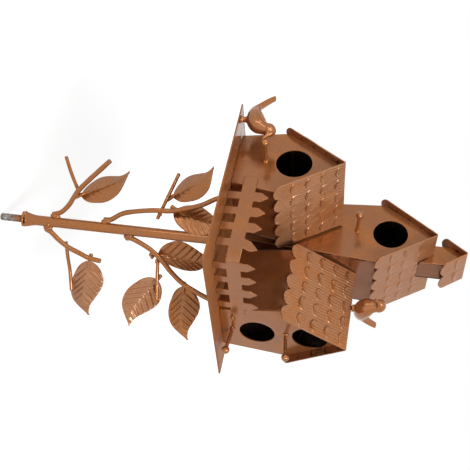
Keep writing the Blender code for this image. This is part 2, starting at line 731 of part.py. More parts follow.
def make_leaf(name, leaf):
    """One pressed leaf, on a short round stem that crosses behind the rod that carries it."""
    out, height = leaf.base
    run = (leaf.tip[0] - out, leaf.tip[1] - height)
    length = math.hypot(*run)
    shares = [0.0] + [(k + 0.5) / (2 * LEAF_VEINS) for k in range(2 * LEAF_VEINS)] + [1.0]
    across = (-1.0, -0.72, -0.38, 0.0, 0.38, 0.72, 1.0)

    def build(shape):
        grid = [[shape.verts.new(leaf_point(share, a, length)) for a in across] for share in shares]
        for low, high in zip(grid, grid[1:]):
            for a, b, c, d in zip(low, low[1:], high[1:], high):
                shape.faces.new((a, b, c, d))
    data = mesh_from(build)
    if sum(face.normal.z for face in data.polygons) < 0:
        data.flip_normals()
    frame = Matrix.Translation((out, -leaf.forward(), DECK_TOP + height))
    aim = Matrix.Rotation(-math.atan2(run[1], run[0]), 4, "Y")
    stand = Matrix.Rotation(math.radians(90 + leaf.turn), 4, "X")
    thing = link(name, data, SPRAY @ frame @ aim @ stand, BRONZE_LIGHT)
    shell = thing.modifiers.new("sheet", "SOLIDIFY")
    shell.thickness = LEAF_SHEET
    shell.offset = -1.0
    start = spray_point(*leaf.knob, leaf.forward())
    lap = LEAF_STEM_LAP / length
    end = spray_point(out + run[0] * lap, height + run[1] * lap, leaf.forward())
    reach = end - start
    stem = Matrix.Translation((start + end) / 2) @ reach.to_track_quat("Z", "Y").to_matrix().to_4x4()
    boolean(thing, cutter(name + "_stem", cylinder(LEAF_STEM_RADIUS, reach.length, 12), stem), "UNION")
    return thing


def make_spray():
    """All branches, twigs and leaves."""
    for name, route in BRANCHES.items():
        rod(name, route, BRANCH_RADIUS, 0.0, BRONZE)
    for name, route in TWIGS.items():
        rod(name, route, TWIG_RADIUS, TWIG_FORWARD[name], BRONZE_DARK)
    for name, leaf in LEAVES.items():
        make_leaf(name, leaf)


def make_houses():
    """The three houses with their roofs and perches, and the chimney."""
    house_a = facing(0, A_CENTRE_X, A_FRONT_Y, DECK_TOP)
    house_b = facing(90, B_FRONT_X, B_CENTRE_Y, DECK_TOP)
    tower = facing(0, T_CENTRE_X, T_FRONT_Y, DECK_TOP)
    roof_a = Roof(A_RIDGE_Z, A_HALF_SPAN, A_DROP, -A_OVERHANG, A_ROOF_LENGTH, 5)
    roof_b = Roof(B_RIDGE_Z, B_HALF_SPAN, B_DROP, -B_OVERHANG, B_ROOF_LENGTH, 5)
    roof_t = Roof(T_RIDGE_Z, T_HALF_SPAN, T_DROP, -T_OVERHANG, T_ROOF_LENGTH, 5, T_ROOF_TILT)
    house_body("house_a_walls", house_a, A_BASE_HALF, A_FLARE, A_DEPTH, roof_a, [(0, A_ENTRY_Z)])
    house_body("house_b_walls", house_b, B_BASE_HALF, B_FLARE, B_DEPTH, roof_b,
               [(B_ENTRY_SHIFT, z) for z in B_ENTRY_Z])
    house_body("tower_walls", tower, T_BASE_HALF, T_FLARE, T_DEPTH, roof_t, [(0, T_ENTRY_Z)])
    pressed_roof("house_a_roof", roof_a, house_a)
    pressed_roof("house_b_roof", roof_b, house_b)
    pressed_roof("tower_roof", roof_t, tower)
    perch("house_a_perch", house_a, 0, A_PERCH_Z, 0)
    for level, z, tilt in zip(("lower", "upper"), B_PERCH_Z, B_PERCH_TILT):
        perch(f"house_b_{level}_perch", house_b, B_ENTRY_SHIFT / 2, z, tilt)
    perch("tower_perch", tower, 0, T_PERCH_Z, T_PERCH_TILT)
    make_chimney(tower, roof_t)
    make_fence()


def make_chimney(tower, roof):
    """A square chimney astride the tower's ridge, under a small pressed roof."""
    place = tower @ Matrix.Translation((0, CHIMNEY_SETBACK, 0))
    cap = Roof(CHIMNEY_RIDGE_Z, CHIMNEY_HALF_SPAN, CHIMNEY_DROP, -CHIMNEY_OVERHANG, CHIMNEY_ROOF_LENGTH, 2)
    low = T_RIDGE_Z - T_DROP
    outer = tapered_box(CHIMNEY_HALF, CHIMNEY_HALF, low, CHIMNEY_RIDGE_Z, 0.0, CHIMNEY_DEPTH)
    walls = link("chimney_walls", outer, place, BRONZE, smooth=False)
    inner = tapered_box(CHIMNEY_HALF - SHEET, CHIMNEY_HALF - SHEET, low - CUT_OVER,
                        CHIMNEY_RIDGE_Z + CUT_OVER, SHEET, CHIMNEY_DEPTH - SHEET)
    boolean(walls, cutter("chimney_inside", inner, place))
    above = upright_outline(cap.underside(GAP), cap.cut_length())
    boolean(walls, cutter("chimney_roof_line", above, cap.place(place)))
    below = upright_outline(roof.upper_side(GAP), roof.cut_length())
    boolean(walls, cutter("chimney_foot_line", below, roof.place(tower)))
    pressed_roof("chimney_roof", cap, place)


def make_birds():
    """One bird on the platform by house A's perch, one astride house B's ridge."""
    make_bird("bird_1", *BIRD_1_AT, DECK_TOP, BIRD_1_HEADING)
    make_bird("bird_2", BIRD_2_X, B_CENTRE_Y, DECK_TOP + B_RIDGE_Z, BIRD_2_HEADING)


make_pole()
make_stud()
make_deck()
make_houses()
make_birds()
make_spray()
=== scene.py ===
"""Looks of the birdhouse on a pole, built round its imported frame.

Every shape is in metres, in the frame of the solids: the origin is the centre of the
stud's lower end and +Z is up. -Y is the side that house A and the tower face, and +X
the side that house B faces.
"""

import logging
import math
from dataclasses import dataclass, field
from enum import Enum

import bmesh
import bpy
import numpy as np
from mathutils import Matrix, Vector


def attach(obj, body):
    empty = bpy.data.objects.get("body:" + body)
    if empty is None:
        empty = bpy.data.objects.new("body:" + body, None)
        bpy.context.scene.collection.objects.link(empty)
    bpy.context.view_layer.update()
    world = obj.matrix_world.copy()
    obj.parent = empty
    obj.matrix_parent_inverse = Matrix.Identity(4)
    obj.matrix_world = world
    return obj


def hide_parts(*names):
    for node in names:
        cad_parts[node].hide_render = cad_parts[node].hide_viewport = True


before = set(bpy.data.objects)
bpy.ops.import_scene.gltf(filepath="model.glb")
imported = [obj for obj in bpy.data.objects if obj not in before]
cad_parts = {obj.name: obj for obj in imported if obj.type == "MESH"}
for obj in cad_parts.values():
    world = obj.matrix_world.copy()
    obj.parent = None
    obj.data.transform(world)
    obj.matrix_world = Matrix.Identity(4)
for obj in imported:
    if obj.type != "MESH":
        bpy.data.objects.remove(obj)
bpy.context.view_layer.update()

LOG = logging.getLogger("birdhouse")
BODY = "root"
TAU = 2 * math.pi

DECK_TOP = 0.252                # platform's top above the stud's lower end
DECK_THICKNESS = 0.0015
GAP = 0.0003                    # clearance between pieces that touch
SEAM = 0.00005                  # clearance between sheets that meet at a corner
SPRAY_AZIMUTH = math.radians(45)


class Slot(Enum):
    """Names of the material slots."""

    PLATFORM = "enamel_platform"
    WALL = "enamel_wall"
    ROOF = "enamel_roof"
    ROD = "enamel_rod"
    BIRD = "enamel_bird"
    LEAF = "enamel_leaf"
    STEEL = "bare_steel"


# Numbers worked out as whole arrays


def ripple(points: np.ndarray, size: float, seed: int) -> np.ndarray:
    """Smooth unevenness of a hand-made surface.

    The sum of six sine waves in six fixed random directions, whose wavelengths
    lie around one size, divided so that it stays within about -1 to 1.

    Args:
        points: Points, with their three coordinates last.
        size: Wavelength of the waves, in metres.
        seed: Number that picks the directions.

    Returns:
        One value for each point.
    """
    random = np.random.default_rng(seed)
    ways = random.normal(size=(6, 3))
    ways /= np.linalg.norm(ways, axis=1, keepdims=True)
    lengths = size * random.uniform(0.7, 1.5, 6)
    phases = random.uniform(0, TAU, 6)
    waves = np.sin(points @ (ways * TAU / lengths[:, None]).T + phases)
    return waves.sum(-1) / 3.0


def smooth_route(knots: np.ndarray, steps: int) -> np.ndarray:
    """Points of a smooth curve through knots (Catmull-Rom).

    Between two knots the curve is the cubic that passes through both and has, at
    each, the slope of the line between that knot's two neighbours.

    Args:
        knots: The curve's own points, one row each.
        steps: Points made from each knot to the next.

    Returns:
        The curve's points, one row each.
    """
    ends = np.vstack([2 * knots[:1] - knots[1:2], knots, 2 * knots[-1:] - knots[-2:-1]])
    t = (np.arange(steps) / steps)[None, :, None]
    before, here, there, after = (ends[k:len(ends) - 3 + k, None, :] for k in range(4))
    curve = 0.5 * (2 * here + (there - before) * t
                   + (2 * before - 5 * here + 4 * there - after) * t ** 2
                   + (3 * here - before - 3 * there + after) * t ** 3)
    return np.vstack([curve.reshape(-1, knots.shape[1]), knots[-1:]])


def ease(share: np.ndarray) -> np.ndarray:
    """A smooth step from 0 to 1: three times the square less twice the cube."""
    share = np.clip(share, 0.0, 1.0)
    return share * share * (3 - 2 * share)


def placed(points: np.ndarray, place: Matrix) -> np.ndarray:
    """Points moved by a 4 by 4 matrix."""
    turn = np.array(place)
    return points @ turn[:3, :3].T + turn[:3, 3]


# Meshes


@dataclass
class Skin:
    """Grids and end faces gathered into one mesh."""

    points: list[np.ndarray] = field(default_factory=list)
    faces: list[list[int]] = field(default_factory=list)
    count: int = 0

    def grid(self, points: np.ndarray, close_v: bool = False, flip: bool = False,
             toward: np.ndarray | None = None) -> np.ndarray:
        """Add a surface of quads between neighbouring points of a grid.

        Args:
            points: Grid of points, n by m by 3.
            close_v: Join the last column to the first.
            flip: Turn the faces round.
            toward: A way that the middle face looks; it decides instead of flip.

        Returns:
            The number of each grid point in the mesh, n by m.
        """
        rows, columns = points.shape[:2]
        if toward is not None:
            i, j = rows // 2 - 1, columns // 2 - 1
            cross = np.cross(points[i + 1, j + 1] - points[i, j], points[i + 1, j] - points[i, j + 1])
            flip = float(cross @ toward) < 0
        index = np.arange(rows * columns).reshape(rows, columns) + self.count
        ring = np.hstack([index, index[:, :1]]) if close_v else index
        quads = np.stack([ring[:-1, :-1], ring[:-1, 1:], ring[1:, 1:], ring[1:, :-1]], -1).reshape(-1, 4)
        self.faces += (quads[:, ::-1] if flip else quads).tolist()
        self.points.append(points.reshape(-1, 3))
        self.count += rows * columns
        return index

    def cap(self, ring: np.ndarray, flip: bool = False) -> None:
        """Close a ring of points with one flat face."""
        self.faces.append((ring[::-1] if flip else ring).tolist())

    def piece(self, name: str, finish: "Finish", slot: Slot, *nodes: str,
              angle: float = 50.0, merge: bool = False) -> bpy.types.Object:
        """Make the object, dress it and let it ride on the body.

        Args:
            name: The piece's name.
            finish: What its surface is.
            slot: Passed on to dressed, which does not use it.
            nodes: Solids that it stands for.
            angle: Edges sharper than this stay sharp, in degrees.
            merge: Join points that lie in one place.

        Returns:
            The new object.
        """
        mesh = bpy.data.meshes.new(name)
        mesh.from_pydata(np.vstack(self.points).tolist(), [], self.faces)
        if merge:
            join_points(mesh)
        return dressed(mesh, name, finish, slot, *nodes, angle=angle)


def join_points(mesh: bpy.types.Mesh) -> None:
    """Merge a mesh's points that lie within a thousandth of a millimetre.

    Args:
        mesh: The mesh, which is changed in place.
    """
    shape = bmesh.new()
    shape.from_mesh(mesh)
    bmesh.ops.remove_doubles(shape, verts=shape.verts, dist=0.000001)
    shape.to_mesh(mesh)
    shape.free()


def dressed(mesh: bpy.types.Mesh, name: str, finish: "Finish", slot: Slot, *nodes: str,
            angle: float = 50.0) -> bpy.types.Object:
    """Make a piece of a mesh: smooth it, dress it and let it ride on the body.

    Args:
        mesh: The piece's shape.
        name: The piece's name.
        finish: What its surface is.
        slot: Not used.
        nodes: Solids that it stands for.
        angle: Edges sharper than this stay sharp, in degrees.

    Returns:
        The new object.
    """
    mesh.validate()
    mesh.shade_smooth()
    mesh.set_sharp_from_angle(angle=math.radians(angle))
    mesh.materials.append(finish.material())
    thing = bpy.data.objects.new(name, mesh)
    bpy.context.scene.collection.objects.link(thing)
    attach(thing, BODY)
    if nodes:
        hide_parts(*nodes)
    LOG.info("%s: %d faces", name, len(mesh.polygons))
    return thing


def thicken(thing: bpy.types.Object, sheet: float, *inner: "Finish", rim: bool = False) -> None:
    """Give an open sheet its thickness, on its inner side.

    Args:
        thing: The sheet's piece.
        sheet: Thickness in metres.
        inner: Finishes of the inner side, one for each material that the sheet has.
        rim: Finish the cut edges as the inner side.
    """
    shell = thing.modifiers.new("sheet", "SOLIDIFY")
    shell.thickness = sheet
    shell.offset = -1.0
    shell.material_offset = len(inner)
    shell.material_offset_rim = len(inner) if rim else 0
    for finish in inner:
        thing.data.materials.append(finish.material())


def ease_edges(thing: bpy.types.Object, width: float, segments: int = 2, angle: float = 40.0) -> None:
    """Round off a piece's sharp edges.

    Args:
        thing: The piece.
        width: How far the rounding runs onto each face, in metres.
        segments: Faces across each rounded edge.
        angle: Edges sharper than this are rounded, in degrees.
    """
    edge = thing.modifiers.new("edge", "BEVEL")
    edge.width = width
    edge.segments = segments
    edge.limit_method = "ANGLE"
    edge.angle_limit = math.radians(angle)
    edge.harden_normals = False


def tube(skin: Skin, centres: np.ndarray, sides: np.ndarray, ups: np.ndarray,
         radii: np.ndarray, around: int) -> None:
    """Carry an oval along a path and round off both ends.

    A point is the path's point, plus the side way times the radius and the cosine
    of the turn, plus the up way times the radius and its sine. Four smaller ovals
    beyond each end close it as half a flattened ball.

    Args:
        skin: Where the surface goes.
        centres: The path's points, n by 3.
        sides: Unit vector across the path at each point.
        ups: Unit vector across the path, square to the first.
        radii: Half width and half height at each point, n by 2.
        around: Points in each oval.
    """
    turn = np.linspace(0, math.pi / 2, 5)[1:]
    first, last = centres[0] - centres[1], centres[-1] - centres[-2]
    bulge = 0.45 * radii[[0, -1]].mean(1)
    caps = [c + (w / np.linalg.norm(w))[None] * np.sin(turn)[:, None] * b
            for c, w, b in zip(centres[[0, -1]], (first, last), bulge)]
    shrink = np.maximum(np.cos(turn), 0.02)[:, None]
    centres = np.vstack([caps[0][::-1], centres, caps[1]])
    radii = np.vstack([(radii[:1] * shrink)[::-1], radii, radii[-1:] * shrink])
    sides = np.vstack([np.repeat(sides[:1], 4, 0), sides, np.repeat(sides[-1:], 4, 0)])
    ups = np.vstack([np.repeat(ups[:1], 4, 0), ups, np.repeat(ups[-1:], 4, 0)])
    angle = np.arange(around) / around * TAU
    rings = (centres[:, None] + sides[:, None] * (radii[:, :1] * np.cos(angle))[..., None]
             + ups[:, None] * (radii[:, 1:] * np.sin(angle))[..., None])
    index = skin.grid(rings, close_v=True)
    skin.cap(index[0], flip=True)
    skin.cap(index[-1])


def flat_frames(centres: np.ndarray, normal: np.ndarray) -> tuple[np.ndarray, np.ndarray]:
    """The ways across a path that lies in one plane.

    Args:
        centres: The path's points, n by 3.
        normal: Unit vector square to the path's plane.

    Returns:
        The plane's normal at each point, and the cross product of the path's way
        with it.
    """
    way = np.gradient(centres, axis=0)
    way /= np.linalg.norm(way, axis=1, keepdims=True)
    side = np.repeat(normal[None], len(centres), 0)
    return side, np.cross(way, side)


# Finishes


class Nodes:
    """A short way to add and link a material's nodes.

    Attributes:
        material: The material.
        tree: Its node tree.
        shader: Its Principled shader.
        place: The piece's own coordinates.
    """

    def __init__(self, name: str) -> None:
        """Start a material with its Principled shader."""
        self.material = bpy.data.materials.new(name)
        self.material.use_nodes = True
        self.tree = self.material.node_tree
        self.shader = self.tree.nodes["Principled BSDF"]
        self.place = self.add("ShaderNodeTexCoord").outputs["Object"]

    def add(self, kind: str, **values: object) -> bpy.types.Node:
        """Add a node and set it up.

        Args:
            kind: The node's type.
            values: A name with a capital is an input, and _0, _1 and so on is an
                input by its number; the rest are the node's own settings. A socket
                as the value is linked.

        Returns:
            The node.
        """
        node = self.tree.nodes.new(kind)
        for name, value in values.items():
            if name[0].isupper() or name[0] == "_":
                key = int(name[1:]) if name[0] == "_" else name.replace("_", " ")
                target = node.inputs[key]
                if isinstance(value, bpy.types.NodeSocket):
                    self.tree.links.new(value, target)
                else:
                    target.default_value = value
            else:
                setattr(node, name, value)
        return node

    def noise(self, scale: float, detail: float = 2.0, roughness: float = 0.5,
              distortion: float = 0.0) -> bpy.types.NodeSocket:
        """A noise value on the piece's own coordinates.

        Args:
            scale: Features in a metre.
            detail: Number of finer layers.
            roughness: Weight of the finer layers.
            distortion: How far the pattern is warped.

        Returns:
            The value, about 0 to 1.
        """
        node = self.add("ShaderNodeTexNoise", Vector=self.place, Scale=scale, Detail=detail,
                        Roughness=roughness, Distortion=distortion)
        return node.outputs["Fac"]

    def band(self, value: bpy.types.NodeSocket, low: float, high: float,
             to_low: float = 0.0, to_high: float = 1.0) -> bpy.types.NodeSocket:
        """A value stretched smoothly from one band to another.

        Args:
            value: The value.
            low: Lower end of its band.
            high: Upper end of its band.
            to_low: Result at the lower end.
            to_high: Result at the upper end.

        Returns:
            The stretched value.
        """
        node = self.add("ShaderNodeMapRange", interpolation_type="SMOOTHSTEP", Value=value,
                        From_Min=low, From_Max=high, To_Min=to_low, To_Max=to_high)
        return node.outputs["Result"]

    def math(self, operation: str, a: object, b: object) -> bpy.types.NodeSocket:
        """One sum of two values."""
        return self.add("ShaderNodeMath", operation=operation, _0=a, _1=b).outputs[0]

    def mix(self, share: bpy.types.NodeSocket, a: object, b: object) -> bpy.types.NodeSocket:
        """Two colours mixed by a share.

        Args:
            share: Share of the second colour.
            a: First colour, plain or a socket.
            b: Second colour, plain or a socket.

        Returns:
            The mixed colour.
        """
        node = self.add("ShaderNodeMix", data_type="RGBA", blend_type="MIX")
        for slot, value in ((0, share), (6, a), (7, b)):
            if isinstance(value, bpy.types.NodeSocket):
                self.tree.links.new(value, node.inputs[slot])
            else:
                node.inputs[slot].default_value = (*value, 1.0) if slot else value
        return node.outputs[2]

    def bump(self, height: bpy.types.NodeSocket, depth: float,
             after: bpy.types.NodeSocket | None = None) -> bpy.types.NodeSocket:
        """A bump, on top of an earlier one.

        Args:
            height: The relief, 0 to 1.
            depth: The relief's height in metres.
            after: The earlier bump's normal.

        Returns:
            The bumped normal.
        """
        node = self.add("ShaderNodeBump", Height=height, Distance=depth, Strength=1.0)
        if after is not None:
            self.tree.links.new(after, node.inputs["Normal"])
        return node.outputs["Normal"]

    def wire(self, value: bpy.types.NodeSocket, name: str) -> None:
        """Link a value to one of the shader's inputs."""
        self.tree.links.new(value, self.shader.inputs[name])

    def fix(self, **values: float) -> None:
        """Set plain numbers on the shader's own inputs."""
        for name, value in values.items():
            self.shader.inputs[name.replace("_", " ")].default_value = value


Colour = tuple[float, float, float]


@dataclass(frozen=True)
class Finish:
    """What a surface is made of."""

    name: str

    def material(self) -> bpy.types.Material:
        """The finish's material, made once."""
        found = bpy.data.materials.get(self.name)
        return found or self.build()

    def build(self) -> bpy.types.Material:
        """Make the finish's nodes."""
        raise NotImplementedError


@dataclass(frozen=True)
class Enamel(Finish):
    """Glossy bronze enamel over steel, thicker in some places than in others.

    Attributes:
        colour: The coat where it has its usual thickness.
        warm: The orange tint where it is thin.
        dull: The greyish tint where dust lies in it.
        tint_scale: Patches of tint in a metre.
        tint: How much of the surface is tinted, 0 to 1.
        roughness: Least and greatest roughness.
        matt_right: Roughness added from the middle to the right end of the platform.
        metallic: Share of metal flake that shows.
        coat: Weight of the clear gloss on top.
        specular: Gloss of the enamel itself, 0.5 being usual.
        wave: Depth of the sheet's own waviness, in metres.
        wave_scale: Waves in a metre.
        peel: Depth of the coat's fine unevenness, in metres.
        spatter: Height of drops and specks under the coat, in metres.
        speck: Colour of the fine dark flecks.
        warm_share: Most of the warm tint that shows, 0 to 1.
        dull_share: Most of the dull tint that shows.
        speck_share: Most of the flecks that shows.
        coat_roughness: Roughness of the clear gloss.
    """

    colour: Colour = (0.335, 0.126, 0.043)
    warm: Colour = (0.400, 0.135, 0.026)
    dull: Colour = (0.315, 0.140, 0.062)
    tint_scale: float = 34.0
    tint: float = 0.5
    roughness: tuple[float, float] = (0.26, 0.42)
    matt_right: float = 0.0
    metallic: float = 0.45
    coat: float = 0.2
    specular: float = 0.4
    wave: float = 0.0004
    wave_scale: float = 32.0
    peel: float = 0.00002
    spatter: float = 0.0
    speck: Colour = (0.17, 0.055, 0.02)
    warm_share: float = 0.75
    dull_share: float = 0.65
    speck_share: float = 0.22
    coat_roughness: float = 0.14

    def build(self) -> bpy.types.Material:
        """Tint from two noises, flecks from a third, gloss and relief from the rest.

        Returns:
            The material.
        """
        nodes = Nodes(self.name)
        patch = nodes.noise(self.tint_scale, 4.0, 0.55, 0.6)
        edge = 0.62 - 0.22 * self.tint
        colour = nodes.mix(nodes.band(patch, edge, edge + 0.14, 0.0, self.warm_share), self.colour, self.warm)
        haze = nodes.noise(self.tint_scale * 0.45, 3.0, 0.5, 0.3)
        colour = nodes.mix(nodes.band(haze, 0.50, 0.68, 0.0, self.dull_share), colour, self.dull)
        speck = nodes.noise(self.tint_scale * 14, 2.0)
        colour = nodes.mix(nodes.band(speck, 0.30, 0.75, 0.0, self.speck_share), colour, self.speck)
        nodes.wire(colour, "Base Color")
        rough = nodes.band(nodes.noise(self.tint_scale * 2.2, 3.0), 0.35, 0.68, *self.roughness)
        if self.matt_right:
            along = nodes.add("ShaderNodeSeparateXYZ", Vector=nodes.place).outputs["X"]
            rough = nodes.math("ADD", rough, nodes.band(along, -0.02, 0.09, 0.0, self.matt_right))
        nodes.wire(rough, "Roughness")
        relief = nodes.bump(nodes.noise(self.wave_scale, 1.5, 0.4), self.wave)
        if self.spatter:
            cells = nodes.add("ShaderNodeTexVoronoi", Vector=nodes.place, Scale=120.0)
            drop = nodes.band(cells.outputs["Distance"], 0.02, 0.13, 1.0, 0.0)
            few = nodes.band(nodes.noise(60.0, 1.0), 0.60, 0.63)
            relief = nodes.bump(nodes.math("MULTIPLY", drop, few), self.spatter, relief)
        relief = nodes.bump(nodes.noise(1100.0, 2.0), self.peel, relief)
        nodes.wire(relief, "Normal")
        nodes.fix(Metallic=self.metallic, Coat_Weight=self.coat, Coat_Roughness=self.coat_roughness, IOR=1.5,
                  Specular_IOR_Level=self.specular)
        return nodes.material


@dataclass(frozen=True)
class StudSteel(Finish):
    """Bare grey steel whose upper part got some of the enamel.

    Attributes:
        steel: The bare metal.
        grime: Rust and oil in the thread.
        enamel: The overspray.
        line: Height at which the overspray ends.
    """

    steel: Colour = (0.30, 0.285, 0.26)
    grime: Colour = (0.085, 0.070, 0.058)
    enamel: Colour = (0.30, 0.125, 0.055)
    line: float = 0.0135

    def build(self) -> bpy.types.Material:
        """Steel with grime by noise, mixed into enamel by height.

        Returns:
            The material.
        """
        nodes = Nodes(self.name)
        grime = nodes.band(nodes.noise(260.0, 3.0, 0.6), 0.42, 0.66, 0.0, 0.85)
        colour = nodes.mix(grime, self.steel, self.grime)
        height = nodes.add("ShaderNodeSeparateXYZ", Vector=nodes.place).outputs["Z"]
        ragged = nodes.math("ADD", height, nodes.band(nodes.noise(300.0, 3.0), 0.3, 0.7, -0.003, 0.003))
        coat = nodes.band(ragged, self.line - 0.0015, self.line + 0.0035)
        nodes.wire(nodes.mix(coat, colour, self.enamel), "Base Color")
        nodes.wire(nodes.band(coat, 0.0, 1.0, 0.92, 0.35), "Metallic")
        nodes.wire(nodes.band(nodes.noise(500.0, 2.0), 0.3, 0.7, 0.32, 0.55), "Roughness")
        nodes.wire(nodes.bump(nodes.noise(900.0, 2.0), 0.00004), "Normal")
        return nodes.material


@dataclass(frozen=True)
class PaintedShade(Finish):
    """Near-black painted shade inside the houses and in gaps, with no gloss.

    Attributes:
        colour: The painted shade.
        deeper_shade: Deeper painted shade, in patches.
    """

    colour: Colour = (0.020, 0.009, 0.006)
    deeper_shade: Colour = (0.008, 0.006, 0.005)

    def build(self) -> bpy.types.Material:
        """Two dark tones of painted shade mixed by noise, with no gloss.

        Returns:
            The material.
        """
        nodes = Nodes(self.name)
        patch = nodes.band(nodes.noise(60.0, 3.0), 0.4, 0.6)
        nodes.wire(nodes.mix(patch, self.colour, self.deeper_shade), "Base Color")
        nodes.wire(nodes.band(nodes.noise(200.0, 2.0), 0.3, 0.7, 0.75, 0.95), "Roughness")
        nodes.fix(Specular_IOR_Level=0.15)
        return nodes.material


WALL = Enamel("enamel_on_walls", spatter=0.0002, tint=0.6, roughness=(0.15, 0.28))
# The side walls' enamel: the walls' colours made darker, as painted shade.
SIDE_WALL_WITH_PAINTED_SHADE = Enamel("enamel_with_painted_shade_on_side_walls", colour=(0.225, 0.079, 0.027), warm=(0.270, 0.088, 0.020),
                   dull=(0.205, 0.080, 0.034), spatter=0.0002, tint=0.6, roughness=(0.15, 0.28))
ROOF = Enamel("enamel_on_roofs", colour=(0.380, 0.158, 0.062), tint=0.5, wave=0.0003, roughness=(0.30, 0.46))
# House A's roof: the roofs' enamel made lighter, as painted light.
ROOF_WITH_PAINTED_LIGHT = Enamel("enamel_with_painted_light_on_house_a_roof", colour=(0.420, 0.190, 0.085), warm=(0.400, 0.155, 0.050),
                   dull=(0.350, 0.165, 0.080), tint=0.5, wave=0.0003, roughness=(0.30, 0.46))
# Under the eaves: a darker copy of the roofs' enamel, as painted shade.
UNDERSIDE_WITH_PAINTED_SHADE = Enamel("enamel_with_painted_shade_under_roofs", colour=(0.250, 0.084, 0.028), warm=(0.310, 0.100, 0.026),
                   dull=(0.130, 0.045, 0.020), roughness=(0.40, 0.55), coat=0.1)
DECK = Enamel("enamel_on_platform", roughness=(0.15, 0.28), wave=0.0002, wave_scale=12.0, coat=0.0,
              specular=0.2, metallic=0.3, matt_right=0.35)
ROD = Enamel("enamel_on_rods", colour=(0.380, 0.146, 0.048), tint=0.6, wave=0.0001, wave_scale=90.0,
             roughness=(0.13, 0.22), metallic=0.5, coat=0.1, specular=0.2)
BIRD = Enamel("enamel_on_birds", colour=(0.350, 0.132, 0.044), tint=0.55, roughness=(0.14, 0.26), wave=0.0002,
              wave_scale=70.0, metallic=0.5, specular=0.3)
# The leaves' enamel: lighter than the walls', as painted light.
LEAF = Enamel("enamel_with_painted_light_on_leaves", colour=(0.410, 0.160, 0.053), tint=0.4, roughness=(0.18, 0.32), wave=0.0002,
              metallic=0.5, coat=0.1, specular=0.2)
# Leaves 4 and 7: enamel lighter still, as painted light, with more clear coat and gloss.
GLOSSY_LEAF_WITH_PAINTED_LIGHT = Enamel("glossy_enamel_with_painted_light_on_leaves", colour=(0.440, 0.185, 0.070), tint=0.4, roughness=(0.16, 0.28),
                     wave=0.0002, metallic=0.3, coat=0.5, specular=0.4)
WELD = Enamel("enamel_on_welds", colour=(0.33, 0.12, 0.040), tint=0.9, roughness=(0.16, 0.34), wave=0.0004,
              wave_scale=300.0, metallic=0.5)
# Near-black painted shade for the insides of houses, roofs and chimney, and for gaps.
PAINTED_SHADE_INSIDE = PaintedShade("painted_shade_inside")
STEEL = StudSteel("bare_steel_stud")


# Pole and stud


@dataclass
class Pole:
    """The tube with its pinched end, and the threaded stud in it."""

    radius: float = 0.0055
    wall: float = 0.0011
    flare_width: float = 0.0165
    flare_length: float = 0.017
    stud_radius: float = 0.004
    stud_bare: float = 0.0245
    stud_hidden: float = 0.016
    pitch: float = 0.00125
    thread: float = 0.00055
    slit_height: float = 0.0272
    slit_depth: float = 0.0009
    slit_half: float = 0.0007
    chamfer: float = 0.0007
    chamfer_height: float = 0.0008
    around: int = 48

    def tube(self) -> bpy.types.Object:
        """The tube: an oval whose half widths follow a raised cosine over the flare.

        The slit in the pinched end is a dent that falls off as a bell curve of height
        and lies on the side that faces the front.

        Returns:
            The tube's object.
        """
        top = DECK_TOP - DECK_THICKNESS - GAP
        share = np.linspace(0, 1, 50)
        height = np.concatenate([self.stud_bare + share * self.flare_length,
                                 np.linspace(self.stud_bare + self.flare_length, top, 60)[1:]])
        blend = 0.5 + 0.5 * np.cos(np.pi * np.clip((height - self.stud_bare) / self.flare_length, 0, 1))
        deep = self.stud_radius + GAP + self.wall
        wide = self.radius + (self.flare_width / 2 - self.radius) * blend
        thin = self.radius + (deep - self.radius) * blend
        turn = np.arange(self.around) / self.around * TAU
        at_front = np.clip(-np.sin(turn) * 2 - 0.9, 0, 1)
        slit = np.exp(-((height[:, None] - self.slit_height) / self.slit_half) ** 2) * at_front
        skin = Skin()
        rings = []
        for inset in (self.slit_depth * slit, self.wall + self.slit_depth * slit):
            rings.append(np.stack([(wide[:, None] - inset) * np.cos(turn), (thin[:, None] - inset) * np.sin(turn),
                                   np.repeat(height[:, None], self.around, 1)], -1))
        place = Matrix.Rotation(SPRAY_AZIMUTH, 4, "Z")
        outer = skin.grid(placed(rings[0], place), close_v=True)
        inner = skin.grid(placed(rings[1], place), close_v=True, flip=True)
        for row, flip in ((0, True), (-1, False)):
            ring = np.stack([outer[row], inner[row]])
            ring = np.hstack([ring, ring[:, :1]])
            quads = np.stack([ring[0, :-1], ring[0, 1:], ring[1, 1:], ring[1, :-1]], -1)
            skin.faces += (quads[:, ::-1] if flip else quads).tolist()
        return skin.piece("pole_tube", ROD, Slot.ROD, "pole")

    def stud(self) -> bpy.types.Object:
        """The stud: its radius falls by a triangle wave of height less turn.

        Returns:
            The stud's object.
        """
        length = self.stud_bare + self.stud_hidden
        height = np.linspace(0, length, 300)[:, None]
        turn = (np.arange(36) / 36 * TAU)[None]
        wave = (height / self.pitch - turn / TAU) % 1.0
        cut = self.thread * np.clip(1.35 - 3.1 * np.abs(wave - 0.5), 0, 1)
        chamfer = np.clip(1 - height / self.chamfer_height, 0, 1) * self.chamfer
        radius = self.stud_radius - np.maximum(cut, chamfer)
        skin = Skin()
        index = skin.grid(np.stack([radius * np.cos(turn), radius * np.sin(turn), height + 0 * turn], -1),
                          close_v=True)
        skin.cap(index[0], flip=True)
        skin.cap(index[-1])
        return skin.piece("stud_with_thread", STEEL, Slot.STEEL, "threaded_stud", angle=80)

    def build(self) -> None:
        """Both pieces."""
        self.tube()
        self.stud()


# Roofs


def facing(degrees: float, x: float, y: float, z: float) -> Matrix:
    """The frame of something that faces a compass direction, in degrees from -Y."""
    return Matrix.Translation((x, y, z)) @ Matrix.Rotation(math.radians(degrees), 4, "Z")


